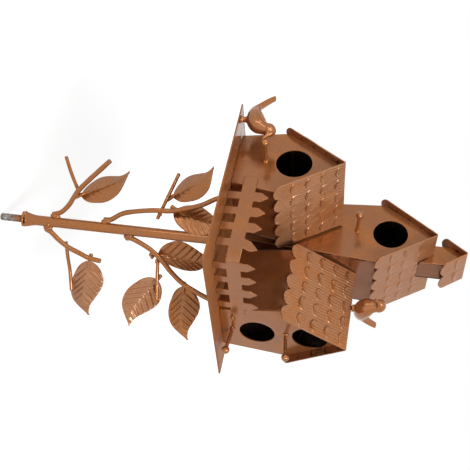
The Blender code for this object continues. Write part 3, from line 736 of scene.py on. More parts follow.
@dataclass
class Relief:
    """How a roof's pressing came out.

    Attributes:
        groove: Depth of the fine grooves that run down the slope.
        grooved: Share of the ridge's length, from the front, that has them.
        dent: Depth of the dents where the sheet was beaten smooth.
        lump: Height of the small lump at one end of each scallop.
        lump_at: Where in the lobe the lump is, 0 to 1.
        seed: Number that picks the unevenness.
    """

    groove: float = 0.00040
    grooved: float = 1.0
    dent: float = 0.00022
    lump: float = 0.0008
    lump_at: float = 0.78
    seed: int = 1


@dataclass
class Roof:
    """One folded sheet pressed into courses of scalloped shingles.

    The house faces its own -Y, and the ridge runs along Y from the front edge.
    """

    name: str
    house: Matrix
    ridge_z: float
    half_span: float
    drop: float
    front: float
    length: float
    relief: Relief
    finish: Finish = ROOF
    lobes: int = 5
    tilt: float = 0.0
    sheet: float = 0.0010
    course: float = 0.0164
    lip: float = 0.0013
    lip_run: float = 0.0018
    scallop: float = 0.0056
    eave_scallop: float = 0.0074
    eave_rise: float = 0.15
    ridge_radius: float = 0.0016
    groove_pitch: float = 0.0034
    groove_columns: int = 9
    lobe_power: float = 0.8
    eave_power: float = 0.50
    lump_half: float = 0.0019
    edge: float = 0.00022
    lit_rim: float = 0.0006

    @property
    def pitch(self) -> float:
        """Slope's angle below level."""
        return math.atan2(self.drop, self.half_span)

    def sheet_height(self, x: np.ndarray, y: np.ndarray, clear: float) -> np.ndarray:
        """Height of the sheet's outer face, moved along its normal, in the house's frame.

        It falls by the pitch's tangent for each unit to the side of the ridge, and
        by the tilt's tangent for each unit behind the front edge.

        Args:
            x: Distance to the side of the ridge.
            y: Distance behind the house's front.
            clear: How far along the normal, outwards.

        Returns:
            Height above the platform.
        """
        peak = self.ridge_radius * (1 / math.cos(self.pitch) - 1) + clear / math.cos(self.pitch)
        back = math.tan(math.radians(self.tilt)) * (y - self.front)
        return self.ridge_z + peak - np.abs(x) * math.tan(self.pitch) + back

    def rows(self) -> np.ndarray:
        """Each row of the grid on one slope, from the ridge down.

        Returns:
            Four columns: distance of the row's notches from the ridge, depth of its
            scallops, share of the course's rise, and share of the way down the course.
        """
        edge = math.hypot(self.half_span, self.drop) - self.eave_scallop
        arc = self.ridge_radius * self.pitch
        notches = [n for n in edge % self.course + self.course * np.arange(int(edge // self.course))
                   if n > arc + self.lip_run]
        down = np.array([0.0, 0.14, 0.3, 0.45, 0.58, 0.68, 0.77, 0.85, 0.92, 0.97, 1.0])
        rise = np.array([0.0, 0.0, 0.01, 0.03, 0.07, 0.14, 0.26, 0.46, 0.76, 0.96, 1.0])
        rows = [(arc * k / 5, 0.0, 0.0, 0.0) for k in range(5)]
        start, start_depth = arc, 0.0
        for notch, depth in [(n, self.scallop) for n in notches] + [(edge, self.eave_scallop)]:
            rows += list(zip(start + (notch - start) * down, start_depth + (depth - start_depth) * down,
                             rise, down))
            rows.append((notch + 0.30 * self.lip_run, depth, 0.25, 0.0))
            rows.append((notch + 0.60 * self.lip_run, depth, -0.12, 0.0))
            start, start_depth = notch + self.lip_run, depth
        table = np.array(rows[:-2])
        table[-len(down):, 2] *= self.eave_rise
        return table

    def slope(self, rows: np.ndarray, share: np.ndarray) -> np.ndarray:
        """One slope's points, side by side.

        A point lies its distance down the slope, plus its scallop, which is the sine
        of the place in the lobe to the power 0.8, or 0.5 at the eave. It stands proud
        by the course's rise, which dies away towards the lobe's two notches, by a
        small lump near one end of the scallop, and by the sheet's unevenness. It
        stands back by the grooves, whose depth is a cosine of the place along the
        ridge.

        Args:
            rows: The grid's rows.
            share: Place of each column along the ridge, 0 to 1.

        Returns:
            Grid of points: across, along and height in the roof's own frame.
        """
        relief = self.relief
        lobe = (share * self.lobes) % 1.0
        bend = np.where(rows[:, 1:2] > self.scallop, self.eave_power, self.lobe_power)
        arch = np.abs(np.sin(np.pi * lobe)) ** bend
        down = rows[:, :1] + rows[:, 1:2] * arch
        run = share * self.length
        spot = np.stack([down + 0 * run, run + 0 * down, 0 * down + 0 * run], -1)
        lip = self.lip * (1 + 0.25 * ripple(spot, 0.03, relief.seed + 2))
        window = ease(np.sin(np.pi * lobe) * 2.4 - 0.55)
        proud = lip * rows[:, 2:3] * window
        side = (lobe - relief.lump_at) * self.length / self.lobes / self.lump_half
        lump = np.exp(-side ** 2) * ease((rows[:, 3:4] - 0.80) / 0.14)
        proud = proud + relief.lump * lump * (0.7 + 0.5 * ripple(spot, 0.02, relief.seed + 3))
        left = 1 - 0.85 * ease((share - relief.grooved) / 0.16)
        comb = 0.5 + 0.5 * np.cos(TAU * run / self.groove_pitch)
        patchy = np.clip(0.75 + 0.35 * ripple(spot, 0.035, relief.seed), 0.2, 1.0)
        proud = proud - relief.groove * comb * patchy * left * (1 - 0.8 * np.clip(rows[:, 2:3], 0, 1) * window)
        below = ease((down - 0.5 * self.ridge_radius) / 0.002)
        rough = 0.35 + 0.65 * ease((share - relief.grooved) / 0.16)
        proud = proud + relief.dent * ripple(spot, 0.009, relief.seed + 1) * below * rough
        arc = self.ridge_radius * self.pitch
        turn = np.clip(down / self.ridge_radius, 0, self.pitch)
        past = np.maximum(down - arc, 0)
        x = self.ridge_radius * np.sin(turn) + past * np.cos(turn) + proud * np.sin(turn)
        z = self.ridge_radius * (np.cos(turn) - 1) - past * np.sin(turn) + proud * np.cos(turn)
        return np.stack([x, run + 0 * down, z], -1)

    def place(self) -> Matrix:
        """The roof's own frame: origin at the ridge's front end."""
        return (self.house @ Matrix.Translation((0, self.front, self.ridge_z))
                @ Matrix.Rotation(math.radians(self.tilt), 4, "X"))

    def build(self, covered: tuple[float, float], *nodes: str) -> None:
        """Both slopes in one grid, thickened inwards, its inner side painted shade: darker under the eaves and
        near black inside the house.

        Args:
            covered: Half width and depth of the house under it.
            nodes: Solids that it stands for.
        """
        columns = int(round(self.length / self.groove_pitch)) * self.groove_columns
        share = np.linspace(0, 1, columns + 1)
        rows = self.rows()
        right = self.slope(rows, share)
        left = right.copy()
        left[..., 0] *= -1
        grid = np.vstack([left[:0:-1], right])
        skin = Skin()
        skin.grid(placed(grid, self.place()), toward=np.array([0.0, 0.0, 1.0]))
        middle = 0.25 * (grid[:-1, :-1] + grid[:-1, 1:] + grid[1:, :-1] + grid[1:, 1:])
        # Cells under the house take the near-black painted shade on their inner side; the rest of the inner side,
        # under the eaves, takes the darker enamel that is painted shade.
        inside = ((np.abs(middle[..., 0]) < covered[0]) & (middle[..., 1] > -self.front + self.lit_rim)
                  & (middle[..., 1] < -self.front + covered[1] - self.lit_rim))
        thing = skin.piece(self.name, self.finish, Slot.ROOF, *nodes, angle=60)
        thing.data.polygons.foreach_set("material_index", inside.ravel().astype(np.int32))
        thing.data.materials.append(self.finish.material())
        thicken(thing, self.sheet, UNDERSIDE_WITH_PAINTED_SHADE, PAINTED_SHADE_INSIDE)
        ease_edges(thing, self.edge, 2, 70)


# Branches, twigs and leaves


SPRAY_OUT = np.array([math.cos(SPRAY_AZIMUTH), math.sin(SPRAY_AZIMUTH), 0.0])
SPRAY_FRONT = np.array([math.sin(SPRAY_AZIMUTH), -math.cos(SPRAY_AZIMUTH), 0.0])
UP = np.array([0.0, 0.0, 1.0])


def spray_points(route: np.ndarray, forward: float) -> np.ndarray:
    """Points of the spray's upright plane, moved forward out of it.

    Args:
        route: Distance out from the pole and height above the platform's top, n by 2.
        forward: Distance in front of the plane.

    Returns:
        The points in the row frame, n by 3.
    """
    return (route[:, :1] * SPRAY_OUT + (DECK_TOP + route[:, 1:2]) * UP + forward * SPRAY_FRONT)


@dataclass
class Rod:
    """A bent round rod in the spray's plane."""

    name: str
    route: list[tuple[float, float]]
    radius: float
    forward: float = 0.0

    def build(self) -> bpy.types.Object:
        """Carry a circle along the smooth route, a little uneven.

        Returns:
            The rod's object.
        """
        path = spray_points(smooth_route(np.array(self.route), 14), self.forward)
        side, up = flat_frames(path, SPRAY_FRONT)
        uneven = 1 + 0.035 * ripple(path, 0.016, len(self.name) + len(self.route))
        skin = Skin()
        tube(skin, path, side, up, self.radius * np.stack([uneven, uneven], -1), 28)
        return skin.piece(self.name + "_rod", ROD, Slot.ROD, self.name)


@dataclass
class Leaf:
    """A pressed leaf on a short round stem that crosses behind its carrier."""

    name: str
    knob: tuple[float, float]
    base: tuple[float, float]
    tip: tuple[float, float]
    turn: float
    forward: float
    relief: float = 1.0
    finish: Finish = LEAF
    half_width: float = 0.0180
    shape: float = 0.62
    base_half_width: float = 0.0018
    tip_half_width: float = 0.0012
    bow: float = 0.0064
    bow_shape: float = 1.9
    slant: float = 0.30
    veins: int = 8
    vein: float = 0.0015
    vein_slant: float = 0.65
    fold: float = 0.0036
    fold_shape: float = 1.25
    sheet: float = 0.0010
    stem_radius: float = 0.0022
    stem_lap: float = 0.0095
    stem_end: float = 0.0009
    stem_sink: float = 0.0013
    vein_start: float = 0.0022
    midrib_half: float = 0.0007
    bead_half: float = 0.0009
    rim_height: float = 0.0003
    rim_half: float = 0.0007

    def blade(self, length: float) -> np.ndarray:
        """The blade's front face in the leaf's own frame.

        The half width follows the sine of pi times the share of the length to the
        power 0.62, and the midrib sweeps sideways by a sine that peaks near the tip.
        Each half carries a row of corrugations, a cosine along the length whose
        phase falls with the distance from the midrib, so that they slant towards the
        tip. They start beside the midrib, which is a narrow groove with a small bead
        at each crest, and end at a plain rolled rim.

        Args:
            length: From the base to the tip.

        Returns:
            Grid of points: along, across and out of the face.
        """
        share = np.linspace(0, 1, 121)[:, None]
        across = np.sin(np.linspace(-1, 1, 57) * np.pi / 2)[None]
        half = self.half_width * np.sin(np.pi * share ** self.shape)
        half = np.maximum(half, np.maximum(self.base_half_width * (1 - share), self.tip_half_width))
        taper = np.clip(np.minimum(share * 6, (1 - share) * 3), 0, 1)
        along = share * length + self.slant * half * np.abs(across) * taper
        sweep = self.bow * np.sin(np.pi * share ** self.bow_shape)
        reach = half * across
        crest = 0.5 + 0.5 * np.cos(TAU * self.veins * (share - self.vein_slant * np.abs(reach) / length))
        fade = ease(np.abs(reach) / self.vein_start) * ease((1 - np.abs(across)) / 0.10)
        waves = self.vein * self.relief * (crest - 0.5) * fade * taper
        midrib = -0.40 * self.vein * self.relief * np.exp(-(reach / self.midrib_half) ** 2) * taper
        bead = 0.9 * self.vein * self.relief * np.exp(-(reach / self.bead_half) ** 2) * crest ** 3 * taper
        rim = self.rim_height * np.exp(-((1 - np.abs(across)) * half / self.rim_half) ** 2) * taper
        fall = self.fold * np.abs(across) ** self.fold_shape * half / self.half_width
        out = waves + midrib + bead - rim - fall - (self.stem_radius - self.sheet)
        return np.stack([along, reach - sweep, out], -1)

    def build(self) -> None:
        """The blade, thickened backwards, and its stem."""
        base, tip, knob = (np.array(p) for p in (self.base, self.tip, self.knob))
        way = tip - base
        length = float(np.hypot(*way))
        points = self.blade(length)
        turn = math.radians(self.turn)
        along = (way[0] * SPRAY_OUT + way[1] * UP) / length
        flat = (-way[1] * SPRAY_OUT + way[0] * UP) / length
        across = flat * math.cos(turn) + SPRAY_FRONT * math.sin(turn)
        front = SPRAY_FRONT * math.cos(turn) - flat * math.sin(turn)
        origin = spray_points(base[None], self.forward)[0]
        face = origin + points[..., :1] * along + points[..., 1:2] * across + points[..., 2:] * front
        skin = Skin()
        outer = skin.grid(face, toward=front)
        inner = skin.grid(face - self.sheet * front, toward=-front)
        rim = [np.concatenate([g[0], g[1:, -1], g[-1, -2::-1], g[-2:0:-1, 0]]) for g in (outer, inner)]
        ring = np.hstack([np.stack(rim), np.stack(rim)[:, :1]])
        skin.faces += np.stack([ring[0, :-1], ring[0, 1:], ring[1, 1:], ring[1, :-1]], -1).tolist()
        end = base + way / length * self.stem_lap
        share = np.linspace(0, 1, 20)[:, None]
        slim = ease((share - 0.35) / 0.65)
        path = spray_points(knob + (end - knob) * share, self.forward) - self.stem_sink * slim * front
        side, up = flat_frames(path, SPRAY_FRONT)
        radius = self.stem_radius + (self.stem_end - self.stem_radius) * slim
        tube(skin, path, side, up, np.hstack([radius, radius]), 20)
        skin.piece(self.name + "_blade", self.finish, Slot.LEAF, self.name, angle=50)


@dataclass
class Spray:
    """The branches, twigs and leaves round the pole."""

    branch_radius: float = 0.00265
    twig_radius: float = 0.0019
    stem_radius: float = 0.0022
    pole_radius: float = 0.0055

    def welds(self, behind: float) -> None:
        """Blobs where the rods are welded to the pole and to one another, and the stems to the rods, and a dark
        blob of painted shade in the flare's slit.

        Args:
            behind: Distance forward of the twigs that cross behind a branch.
        """
        spots = [
            # out from the pole and above the platform, forward, half axes
            ((-0.0062, -0.1352), 0.0006, (0.0030, 0.0026, 0.0050)),
            ((0.0062, -0.1098), 0.0008, (0.0032, 0.0028, 0.0056)),
            ((-0.0062, -0.1915), 0.0006, (0.0032, 0.0028, 0.0050)),
            ((0.0060, -0.1980), 0.0014, (0.0036, 0.0032, 0.0052)),
            ((0.0, -0.2228), 0.0040, (0.0040, 0.0016, 0.0014)),
            ((-0.0062, -0.2245), 0.0010, (0.0028, 0.0032, 0.0022)),
            ((0.0020, -0.1965), 0.0052, (0.0026, 0.0014, 0.0016)),
            ((0.0294, -0.0770), 0.0000, (0.0026, 0.0024, 0.0022)),
            ((-0.0243, -0.0776), behind * 0.55, (0.0024, 0.0018, 0.0022)),
            ((-0.0196, -0.0790), behind, (0.0021, 0.0021, 0.0022)),
            ((-0.0345, -0.1697), behind * 0.55, (0.0024, 0.0020, 0.0020)),
            ((0.0226, -0.1793), behind * 0.55, (0.0024, 0.0020, 0.0020)),
            ((-0.0262, -0.0662), -0.0026, (0.0020, 0.0016, 0.0018)),
            ((0.0262, -0.0832), -0.0026, (0.0022, 0.0016, 0.0018)),
            ((0.0468, -0.0757), -0.0020, (0.0020, 0.0014, 0.0018)),
            ((0.0512, -0.0480), -0.0024, (0.0022, 0.0016, 0.0020)),
            ((-0.0300, -0.1716), -0.0026, (0.0022, 0.0016, 0.0018)),
            ((0.0340, -0.1520), -0.0026, (0.0022, 0.0016, 0.0018)),
            ((-0.0368, -0.0722), behind - 0.0018, (0.0020, 0.0014, 0.0018)),
        ]
        weld("welds_on_rods", [
            Bead(tuple(spray_points(np.array([spot]), forward)[0]), size, 70 + k, SPRAY_AZIMUTH)
            for k, (spot, forward, size) in enumerate(spots)])
        # A dark blob in the flare's slit, painted as the slit's shade.
        gap = tuple(spray_points(np.array([(0.0008, -0.2246)]), 0.0050)[0])
        weld("painted_shade_in_the_flare_slit", [Bead(gap, (0.0036, 0.0007, 0.0007), 95, SPRAY_AZIMUTH)], PAINTED_SHADE_INSIDE)

    def build(self) -> None:
        """All rods and leaves."""
        side = self.pole_radius + GAP + self.branch_radius
        under = -DECK_THICKNESS - GAP
        branches = {
            "branch_1": [(-side, -0.1370), (-side - 0.0012, -0.1295), (-0.0178, -0.1154),
                         (-0.0232, -0.0886), (-0.0248, -0.0673), (-0.0285, -0.0515), (-0.0345, -0.0340),
                         (-0.0421, -0.0199), (-0.0452, -0.0100), (-0.0455, under - 0.0008)],
            "branch_2": [(side, -0.1120), (side + 0.0006, -0.1040), (0.0182, -0.0844), (0.0294, -0.0706),
                         (0.0390, -0.0612), (0.0492, -0.0485), (0.0570, -0.0329), (0.0630, -0.0180),
                         (0.0655, -0.0090), (0.0658, under - 0.0008)],
            "branch_3": [(-side, -0.1940), (-0.0117, -0.1850), (-0.0200, -0.1772), (-0.0290, -0.1722),
                         (-0.0369, -0.1672), (-0.0485, -0.1569), (-0.0601, -0.1456), (-0.0705, -0.1354)],
            "branch_4": [(side, -0.2010), (0.0112, -0.1950), (0.0185, -0.1859), (0.0250, -0.1754),
                         (0.0300, -0.1628), (0.0342, -0.1514), (0.0360, -0.1390)],
        }
        behind = -(self.branch_radius + GAP + self.twig_radius)
        twigs = {
            "twig_1": (behind, [(-0.0150, -0.0812), (-0.0398, -0.0713), (-0.0637, -0.0619)]),
            "twig_2": (0.0, [(0.0301, -0.0762), (0.0490, -0.0755), (0.0705, -0.0742)]),
            "twig_3": (behind, [(-0.0362, -0.1697), (-0.0530, -0.1782), (-0.0700, -0.1852)]),
            "twig_4": (behind, [(0.0206, -0.1797), (0.0377, -0.1764), (0.0515, -0.1732), (0.0720, -0.1702)]),
        }
        for name, route in branches.items():
            Rod(name, route, self.branch_radius).build()
        for name, (forward, route) in twigs.items():
            Rod(name, route, self.twig_radius, forward).build()
        on_branch = -self.branch_radius - GAP - self.stem_radius
        on_twig_1 = behind - self.twig_radius - GAP - self.stem_radius
        on_twig_2 = -self.twig_radius - GAP - self.stem_radius
        self.welds(behind)
        # Leaves 4 and 7 take the lighter enamel that is painted light.
        for leaf in (
            # name, knob, base, tip, turn, distance forward, relief
            Leaf("leaf_1", (-0.0350, -0.0731), (-0.0392, -0.0678), (-0.0750, -0.0279), -42.0, on_twig_1, 0.2),
            Leaf("leaf_2", (-0.0291, -0.0673), (-0.0236, -0.0648), (-0.0206, -0.0075), -40.0, on_branch, 0.25),
            Leaf("leaf_3", (0.0239, -0.0865), (0.0247, -0.0780), (0.0201, -0.0180), 25.0, on_branch),
            Leaf("leaf_4", (0.0448, -0.0728), (0.0490, -0.0790), (0.1041, -0.1032), -10.0, on_twig_2,
                 finish=GLOSSY_LEAF_WITH_PAINTED_LIGHT),
            Leaf("leaf_5", (0.0492, -0.0472), (0.0542, -0.0493), (0.1109, -0.0396), 10.0, on_branch),
            Leaf("leaf_6", (-0.0280, -0.1729), (-0.0312, -0.1669), (-0.0621, -0.1161), -42.0, on_branch, 0.12),
            Leaf("leaf_7", (0.0308, -0.1509), (0.0387, -0.1549), (0.0973, -0.1499), 0.0, on_branch,
                 finish=GLOSSY_LEAF_WITH_PAINTED_LIGHT),
        ):
            leaf.build()


# Birds and perches


@dataclass
class Bird:
    """A plump small bird, facing its own +X, with its foot at the origin."""

    name: str
    place: Matrix
    leg: float = 0.0003
    leg_top: float = 0.0135
    leg_radius: float = 0.0028
    leg_ahead: float = 0.0008
    foot_flare: float = 0.0009
    body_flare: float = 0.0045

    def build(self) -> bpy.types.Object:
        """Carry an oval along a line through the tail, body, head and beak.

        Each row of the table is a section: where its middle is, how high half of it
        is, how far it leans, and how wide half of it is. Between rows everything
        follows a smooth curve, and a point is the middle, plus the half height
        times the sine of the turn, plus the half width times its cosine. The leg is
        an upright tube that widens at the foot and into the body.

        Returns:
            The bird's object.
        """
        table = np.array([
            # middle x, middle z, half height, lean of the section in degrees, half width
            (-0.0370, 0.0292, 0.0014, 42, 0.0034),
            (-0.0308, 0.0234, 0.0018, 42, 0.0040),
            (-0.0220, 0.0168, 0.0025, 38, 0.0044),
            (-0.0165, 0.0143, 0.0044, 24, 0.0056),
            (-0.0110, 0.0136, 0.0069, 10, 0.0074),
            (-0.0040, 0.0146, 0.0090, 0, 0.0094),
            (0.0035, 0.0166, 0.0097, -14, 0.0098),
            (0.0086, 0.0202, 0.0086, -40, 0.0088),
            (0.0110, 0.0242, 0.0069, -62, 0.0072),
            (0.0126, 0.0278, 0.0062, -74, 0.0064),
            (0.0138, 0.0312, 0.0065, -62, 0.0068),
            (0.0166, 0.0331, 0.0058, -34, 0.0060),
            (0.0198, 0.0322, 0.0042, -2, 0.0044),
            (0.0226, 0.0303, 0.0022, 26, 0.0024),
            (0.0290, 0.0266, 0.0006, 32, 0.0008),
        ])
        rows = smooth_route(table, 6)
        lean = np.radians(rows[:, 3])
        turn = np.arange(40) / 40 * TAU
        middle = np.stack([rows[:, 0], 0 * rows[:, 0], rows[:, 1]], -1)
        high = np.stack([np.sin(lean), 0 * lean, np.cos(lean)], -1) * rows[:, 2:3]
        points = middle[:, None] + high[:, None] * np.sin(turn)[:, None]
        points[..., 1] += rows[:, 4:5] * np.cos(turn)
        skin = Skin()
        index = skin.grid(placed(points, self.place), close_v=True)
        skin.cap(index[0], flip=True)
        skin.cap(index[-1])
        height = np.linspace(self.leg, self.leg_top, 12)
        flare = (self.leg_radius + self.foot_flare * (1 - ease((height - self.leg) / 0.003))
                 + self.body_flare * ease((height - 0.004) / 0.008))
        foot = np.stack([flare[:, None] * np.cos(turn) + self.leg_ahead, flare[:, None] * np.sin(turn),
                         height[:, None] + 0 * turn], -1)
        index = skin.grid(placed(foot, self.place), close_v=True)
        skin.cap(index[0], flip=True)
        skin.cap(index[-1])
        return skin.piece(self.name + "_figure", BIRD, Slot.BIRD, self.name, angle=60)


@dataclass
class Perch:
    """A turned peg: a rod out of the wall with a ball on its end."""

    name: str
    house: Matrix
    x: float
    z: float
    tilt: float
    rod: float = 0.0018
    ball: float = 0.0040
    reach: float = 0.0255
    fillet: float = 0.0004

    def build(self) -> bpy.types.Object:
        """Turn a profile about the peg's axis: a straight rod, a fillet and a ball.

        Returns:
            The peg's object.
        """
        start = math.asin(self.rod / self.ball)
        turn = np.linspace(math.pi - start, 0.02, 22)
        radius = np.concatenate([np.full(8, self.rod), self.ball * np.sin(turn)])
        out = np.concatenate([np.linspace(0, self.reach - self.ball * math.cos(start) - self.fillet, 8),
                              self.reach + self.ball * np.cos(turn)])
        angle = np.arange(32) / 32 * TAU
        lean = math.radians(self.tilt)
        seat = GAP + self.rod * math.sin(abs(lean))
        place = (self.house @ Matrix.Translation((self.x, -seat, self.z))
                 @ Matrix.Rotation(math.radians(90) - lean, 4, "X"))
        skin = Skin()
        index = skin.grid(placed(np.stack([radius[:, None] * np.cos(angle), radius[:, None] * np.sin(angle),
                                           out[:, None] + 0 * angle], -1), place), close_v=True)
        skin.cap(index[0], flip=True)
        skin.cap(index[-1])
        return skin.piece(self.name + "_peg", ROD, Slot.ROD, self.name)


# Houses


def edge_points(start: np.ndarray, end: np.ndarray, step: float = 0.0018) -> np.ndarray:
    """Evenly spread points from a corner up to, but without, the next."""
    count = max(1, math.ceil(float(np.linalg.norm(end - start)) / step))
    return start + (end - start) * (np.arange(count) / count)[:, None]


@dataclass
class House:
    """Sheet walls under a pressed roof: upright gables, and sides that lean outwards."""

    name: str
    place: Matrix
    base_half: float
    flare: float
    depth: float
    roof: Roof
    entries: list[tuple[float, float]]
    slits: list[tuple[float, float]] = field(default_factory=list)
    entry_radius: float = 0.0181
    sheet: float = 0.0012
    play: float = -0.0003
    seed: int = 1
    peak_half: float = 0.0006
    seam_gap: float = 0.0015
    edge: float = 0.00028

    def top(self, x: np.ndarray, y: np.ndarray) -> np.ndarray:
        """Height of the wall's upper edge, which is welded into the roof's sheet."""
        return self.roof.sheet_height(x, y, -self.roof.sheet - self.play)

    def half(self, z: np.ndarray) -> np.ndarray:
        """Half width of the house at a height."""
        return self.base_half + self.flare * z

    def eave(self, y: np.ndarray) -> np.ndarray:
        """Height where a side wall meets the roof's underside."""
        fall = math.tan(self.roof.pitch)
        return (self.top(np.zeros_like(y), y) - self.base_half * fall) / (1 + self.flare * fall)

    def uneven(self, points: np.ndarray, seed: int) -> np.ndarray:
        """The sheet's unevenness: up to a quarter of a millimetre."""
        return 0.00022 * ripple(points, 0.045, self.seed * 10 + seed)

    def zone(self, skin: Skin, corners: list[tuple[float, float]], y: float, outward: float,
             entry: tuple[float, float] | None) -> None:
        """A convex part of a gable, with or without a round entry.

        A point is mixed from the hole's edge and the part's outline: each outline
        point pairs with the hole's point in the same direction from its centre.

        Args:
            skin: Where the surface goes.
            corners: The outline's corners, across and up.
            y: Where the gable stands.
            outward: -1 for a front, 1 for a back.
            entry: Centre of the hole, or None for a closed part.
        """
        flat = np.array(corners)
        outline = np.vstack([edge_points(a, b) for a, b in zip(flat, np.roll(flat, -1, 0))])
        centre = np.array(entry) if entry else flat.mean(0)
        way = outline - centre
        reach = np.linalg.norm(way, axis=1, keepdims=True)
        radius = self.entry_radius if entry else 0.0004
        mix = np.array([0, 0.015, 0.05, 0.12, 0.22, 0.35, 0.5, 0.65, 0.8, 0.92, 1.0])[:, None, None]
        across = centre + way / reach * (radius + (reach - radius) * mix)
        points = np.stack([across[..., 0], 0 * across[..., 0] + y, across[..., 1]], -1)
        fade = np.sin(np.pi * mix[..., 0]) ** 0.5
        points[..., 1] += self.uneven(points, 1 if outward < 0 else 2) * fade * np.clip(reach[:, 0] / 0.03, 0, 1)
        looking = np.array(self.place.to_3x3() @ Vector((0, outward, 0)))
        index = skin.grid(placed(points, self.place), close_v=True, toward=looking)
        if not entry:
            corner = skin.points[-1].reshape(*points.shape)[0]
            flip = float(np.cross(corner[1] - corner[0], corner[2] - corner[1]) @ looking) < 0
            skin.cap(index[0], flip=flip)

    def gable(self, y: float, outward: float, entries: list[tuple[float, float]]) -> Skin:
        """A whole gable: one zone for each entry, one above the other.

        Args:
            y: Where the gable stands.
            outward: -1 for a front, 1 for a back.
            entries: Centres of its holes, from the lowest up.

        Returns:
            The gable's open sheet.
        """
        peak = float(self.top(np.zeros(1), np.array([y]))[0])
        flat = self.peak_half
        peak -= flat * math.tan(self.roof.pitch)
        eave = float(self.eave(np.array([y]))[0])
        wide = self.half(eave)
        skin = Skin()
        low, splits = GAP, [(a[1] + b[1]) / 2 for a, b in zip(entries, entries[1:])]
        for split, entry in zip(splits, entries):
            self.zone(skin, [(-self.half(low), low), (self.half(low), low), (self.half(split), split),
                             (-self.half(split), split)], y, outward, entry)
            low = split
        self.zone(skin, [(-self.half(low), low), (self.half(low), low), (wide, eave), (flat, peak),
                         (-flat, peak), (-wide, eave)], y, outward, entries[-1] if entries else None)
        return skin

    def side(self, sign: float) -> Skin:
        """A side wall: rows from the platform to the roof, columns from front to back.

        Its front edge draws back where the seam stands open.

        Args:
            sign: 1 for the right side, -1 for the left.

        Returns:
            The side's open sheet.
        """
        share = np.linspace(0, 1, 90)[:, None]
        low, high = self.sheet + SEAM, self.depth - self.sheet - SEAM
        y = np.linspace(low, high, 44)[None]
        z = GAP + share * (self.eave(y) - GAP)
        open_seam = sum((ease((z - a) / 0.002) * ease((b - z) / 0.002) for a, b in self.slits), 0 * z)
        y = y + self.seam_gap * open_seam * (sign > 0) * np.clip(1 - (y - low) / 0.004, 0, 1)
        points = np.stack([sign * self.half(z), y + 0 * z, z], -1)
        fade = np.sin(np.pi * share) ** 0.5 * np.sin(np.pi * (y - low) / (high - low)).clip(0) ** 0.5
        points[..., 0] += self.uneven(points, 3 if sign > 0 else 4) * fade
        skin = Skin()
        looking = np.array(self.place.to_3x3() @ Vector((sign, 0, 0)))
        skin.grid(placed(points, self.place), toward=looking)
        return skin

    def build(self) -> None:
        """Front, back and both sides, each a sheet of its own."""
        parts = {"front": self.gable(0.0, -1.0, self.entries), "back": self.gable(self.depth, 1.0, []),
                 "left": self.side(-1.0), "right": self.side(1.0)}
        for part, skin in parts.items():
            # Side walls take the darker enamel that is painted shade.
            finish = SIDE_WALL_WITH_PAINTED_SHADE if part in ("left", "right") else WALL
            thing = skin.piece(f"{self.name}_{part}", finish, Slot.WALL, f"{self.name}_walls", merge=True)
            # Inner faces, and the cut edges of every wall but the front, take the near-black painted shade.
            thicken(thing, self.sheet, PAINTED_SHADE_INSIDE, rim=part != "front")
            ease_edges(thing, self.edge)


@dataclass
class Chimney:
    """A square sheet chimney astride the tower's ridge."""

    place: Matrix
    carrier: Roof
    setback: float
    cap: Roof
    half: float = 0.0120
    depth: float = 0.0266
    sheet: float = 0.0012
    bite_height: float = 0.0022
    edge: float = 0.00022

    def foot(self, x: np.ndarray, y: np.ndarray) -> np.ndarray:
        """Height of the ragged lower edge: just above the shingles, with burnt gaps.

        A broad gap lies at the front right corner and two narrow ones farther back,
        each a bell curve of the distance round the corner, to the fourth power.

        Args:
            x: Distance to the side of the ridge.
            y: Distance behind the chimney's front.

        Returns:
            Height above the platform.
        """
        level = self.carrier.sheet_height(x, y + self.setback, -0.0002)
        run = np.where(y > 0, y, x - self.half)
        bite = (np.exp(-((run + 0.0005) / 0.0065) ** 4) + 0.6 * np.exp(-((run - 0.0125) / 0.0014) ** 4)
                + 0.6 * np.exp(-((run - 0.0190) / 0.0012) ** 4))
        ragged = 1 + 0.35 * ripple(np.stack([run, 0 * run, 0 * run], -1), 0.005, 43)
        return level + self.bite_height * bite * ragged * (x > 0)

    def wall(self, x: np.ndarray, y: np.ndarray, way: tuple[float, float, float]) -> Skin:
        """One wall: rows from the foot line to the cap's underside.

        Args:
            x: Distance of each column to the side of the ridge.
            y: Distance of each column behind the chimney's front.
            way: The way that the wall faces.

        Returns:
            The wall's open sheet.
        """
        share = np.linspace(0, 1, 40)[:, None]
        low = self.foot(x, y)
        high = self.cap.sheet_height(x, y, -self.cap.sheet - GAP)
        points = np.stack([x + 0 * share, y + 0 * share, low + (high - low) * share], -1)
        fade = np.sin(np.pi * share) ** 0.5
        points += 0.00012 * (ripple(points, 0.02, 41) * fade)[..., None] * np.array(way)
        skin = Skin()
        skin.grid(placed(points, self.place), toward=np.array(self.place.to_3x3() @ Vector(way)))
        return skin

    def build(self) -> None:
        """Four walls, each a sheet of its own."""
        inner, across = self.sheet + SEAM, np.linspace(-self.half, self.half, 31)
        along = np.linspace(inner, self.depth - inner, 31)
        parts = {"front": self.wall(across, 0 * across, (0, -1, 0)),
                 "back": self.wall(across, 0 * across + self.depth, (0, 1, 0)),
                 "left": self.wall(0 * along - self.half, along, (-1, 0, 0)),
                 "right": self.wall(0 * along + self.half, along, (1, 0, 0))}
        for part, skin in parts.items():
            # The chimney's sides take the darker enamel that is painted shade.
            finish = SIDE_WALL_WITH_PAINTED_SHADE if part in ("left", "right") else WALL
            thing = skin.piece(f"chimney_{part}", finish, Slot.WALL, "chimney_walls")
            # Inner faces, and the cut edges of every wall but the front, take the near-black painted shade.
            thicken(thing, self.sheet, PAINTED_SHADE_INSIDE, rim=part != "front")
            ease_edges(thing, self.edge)


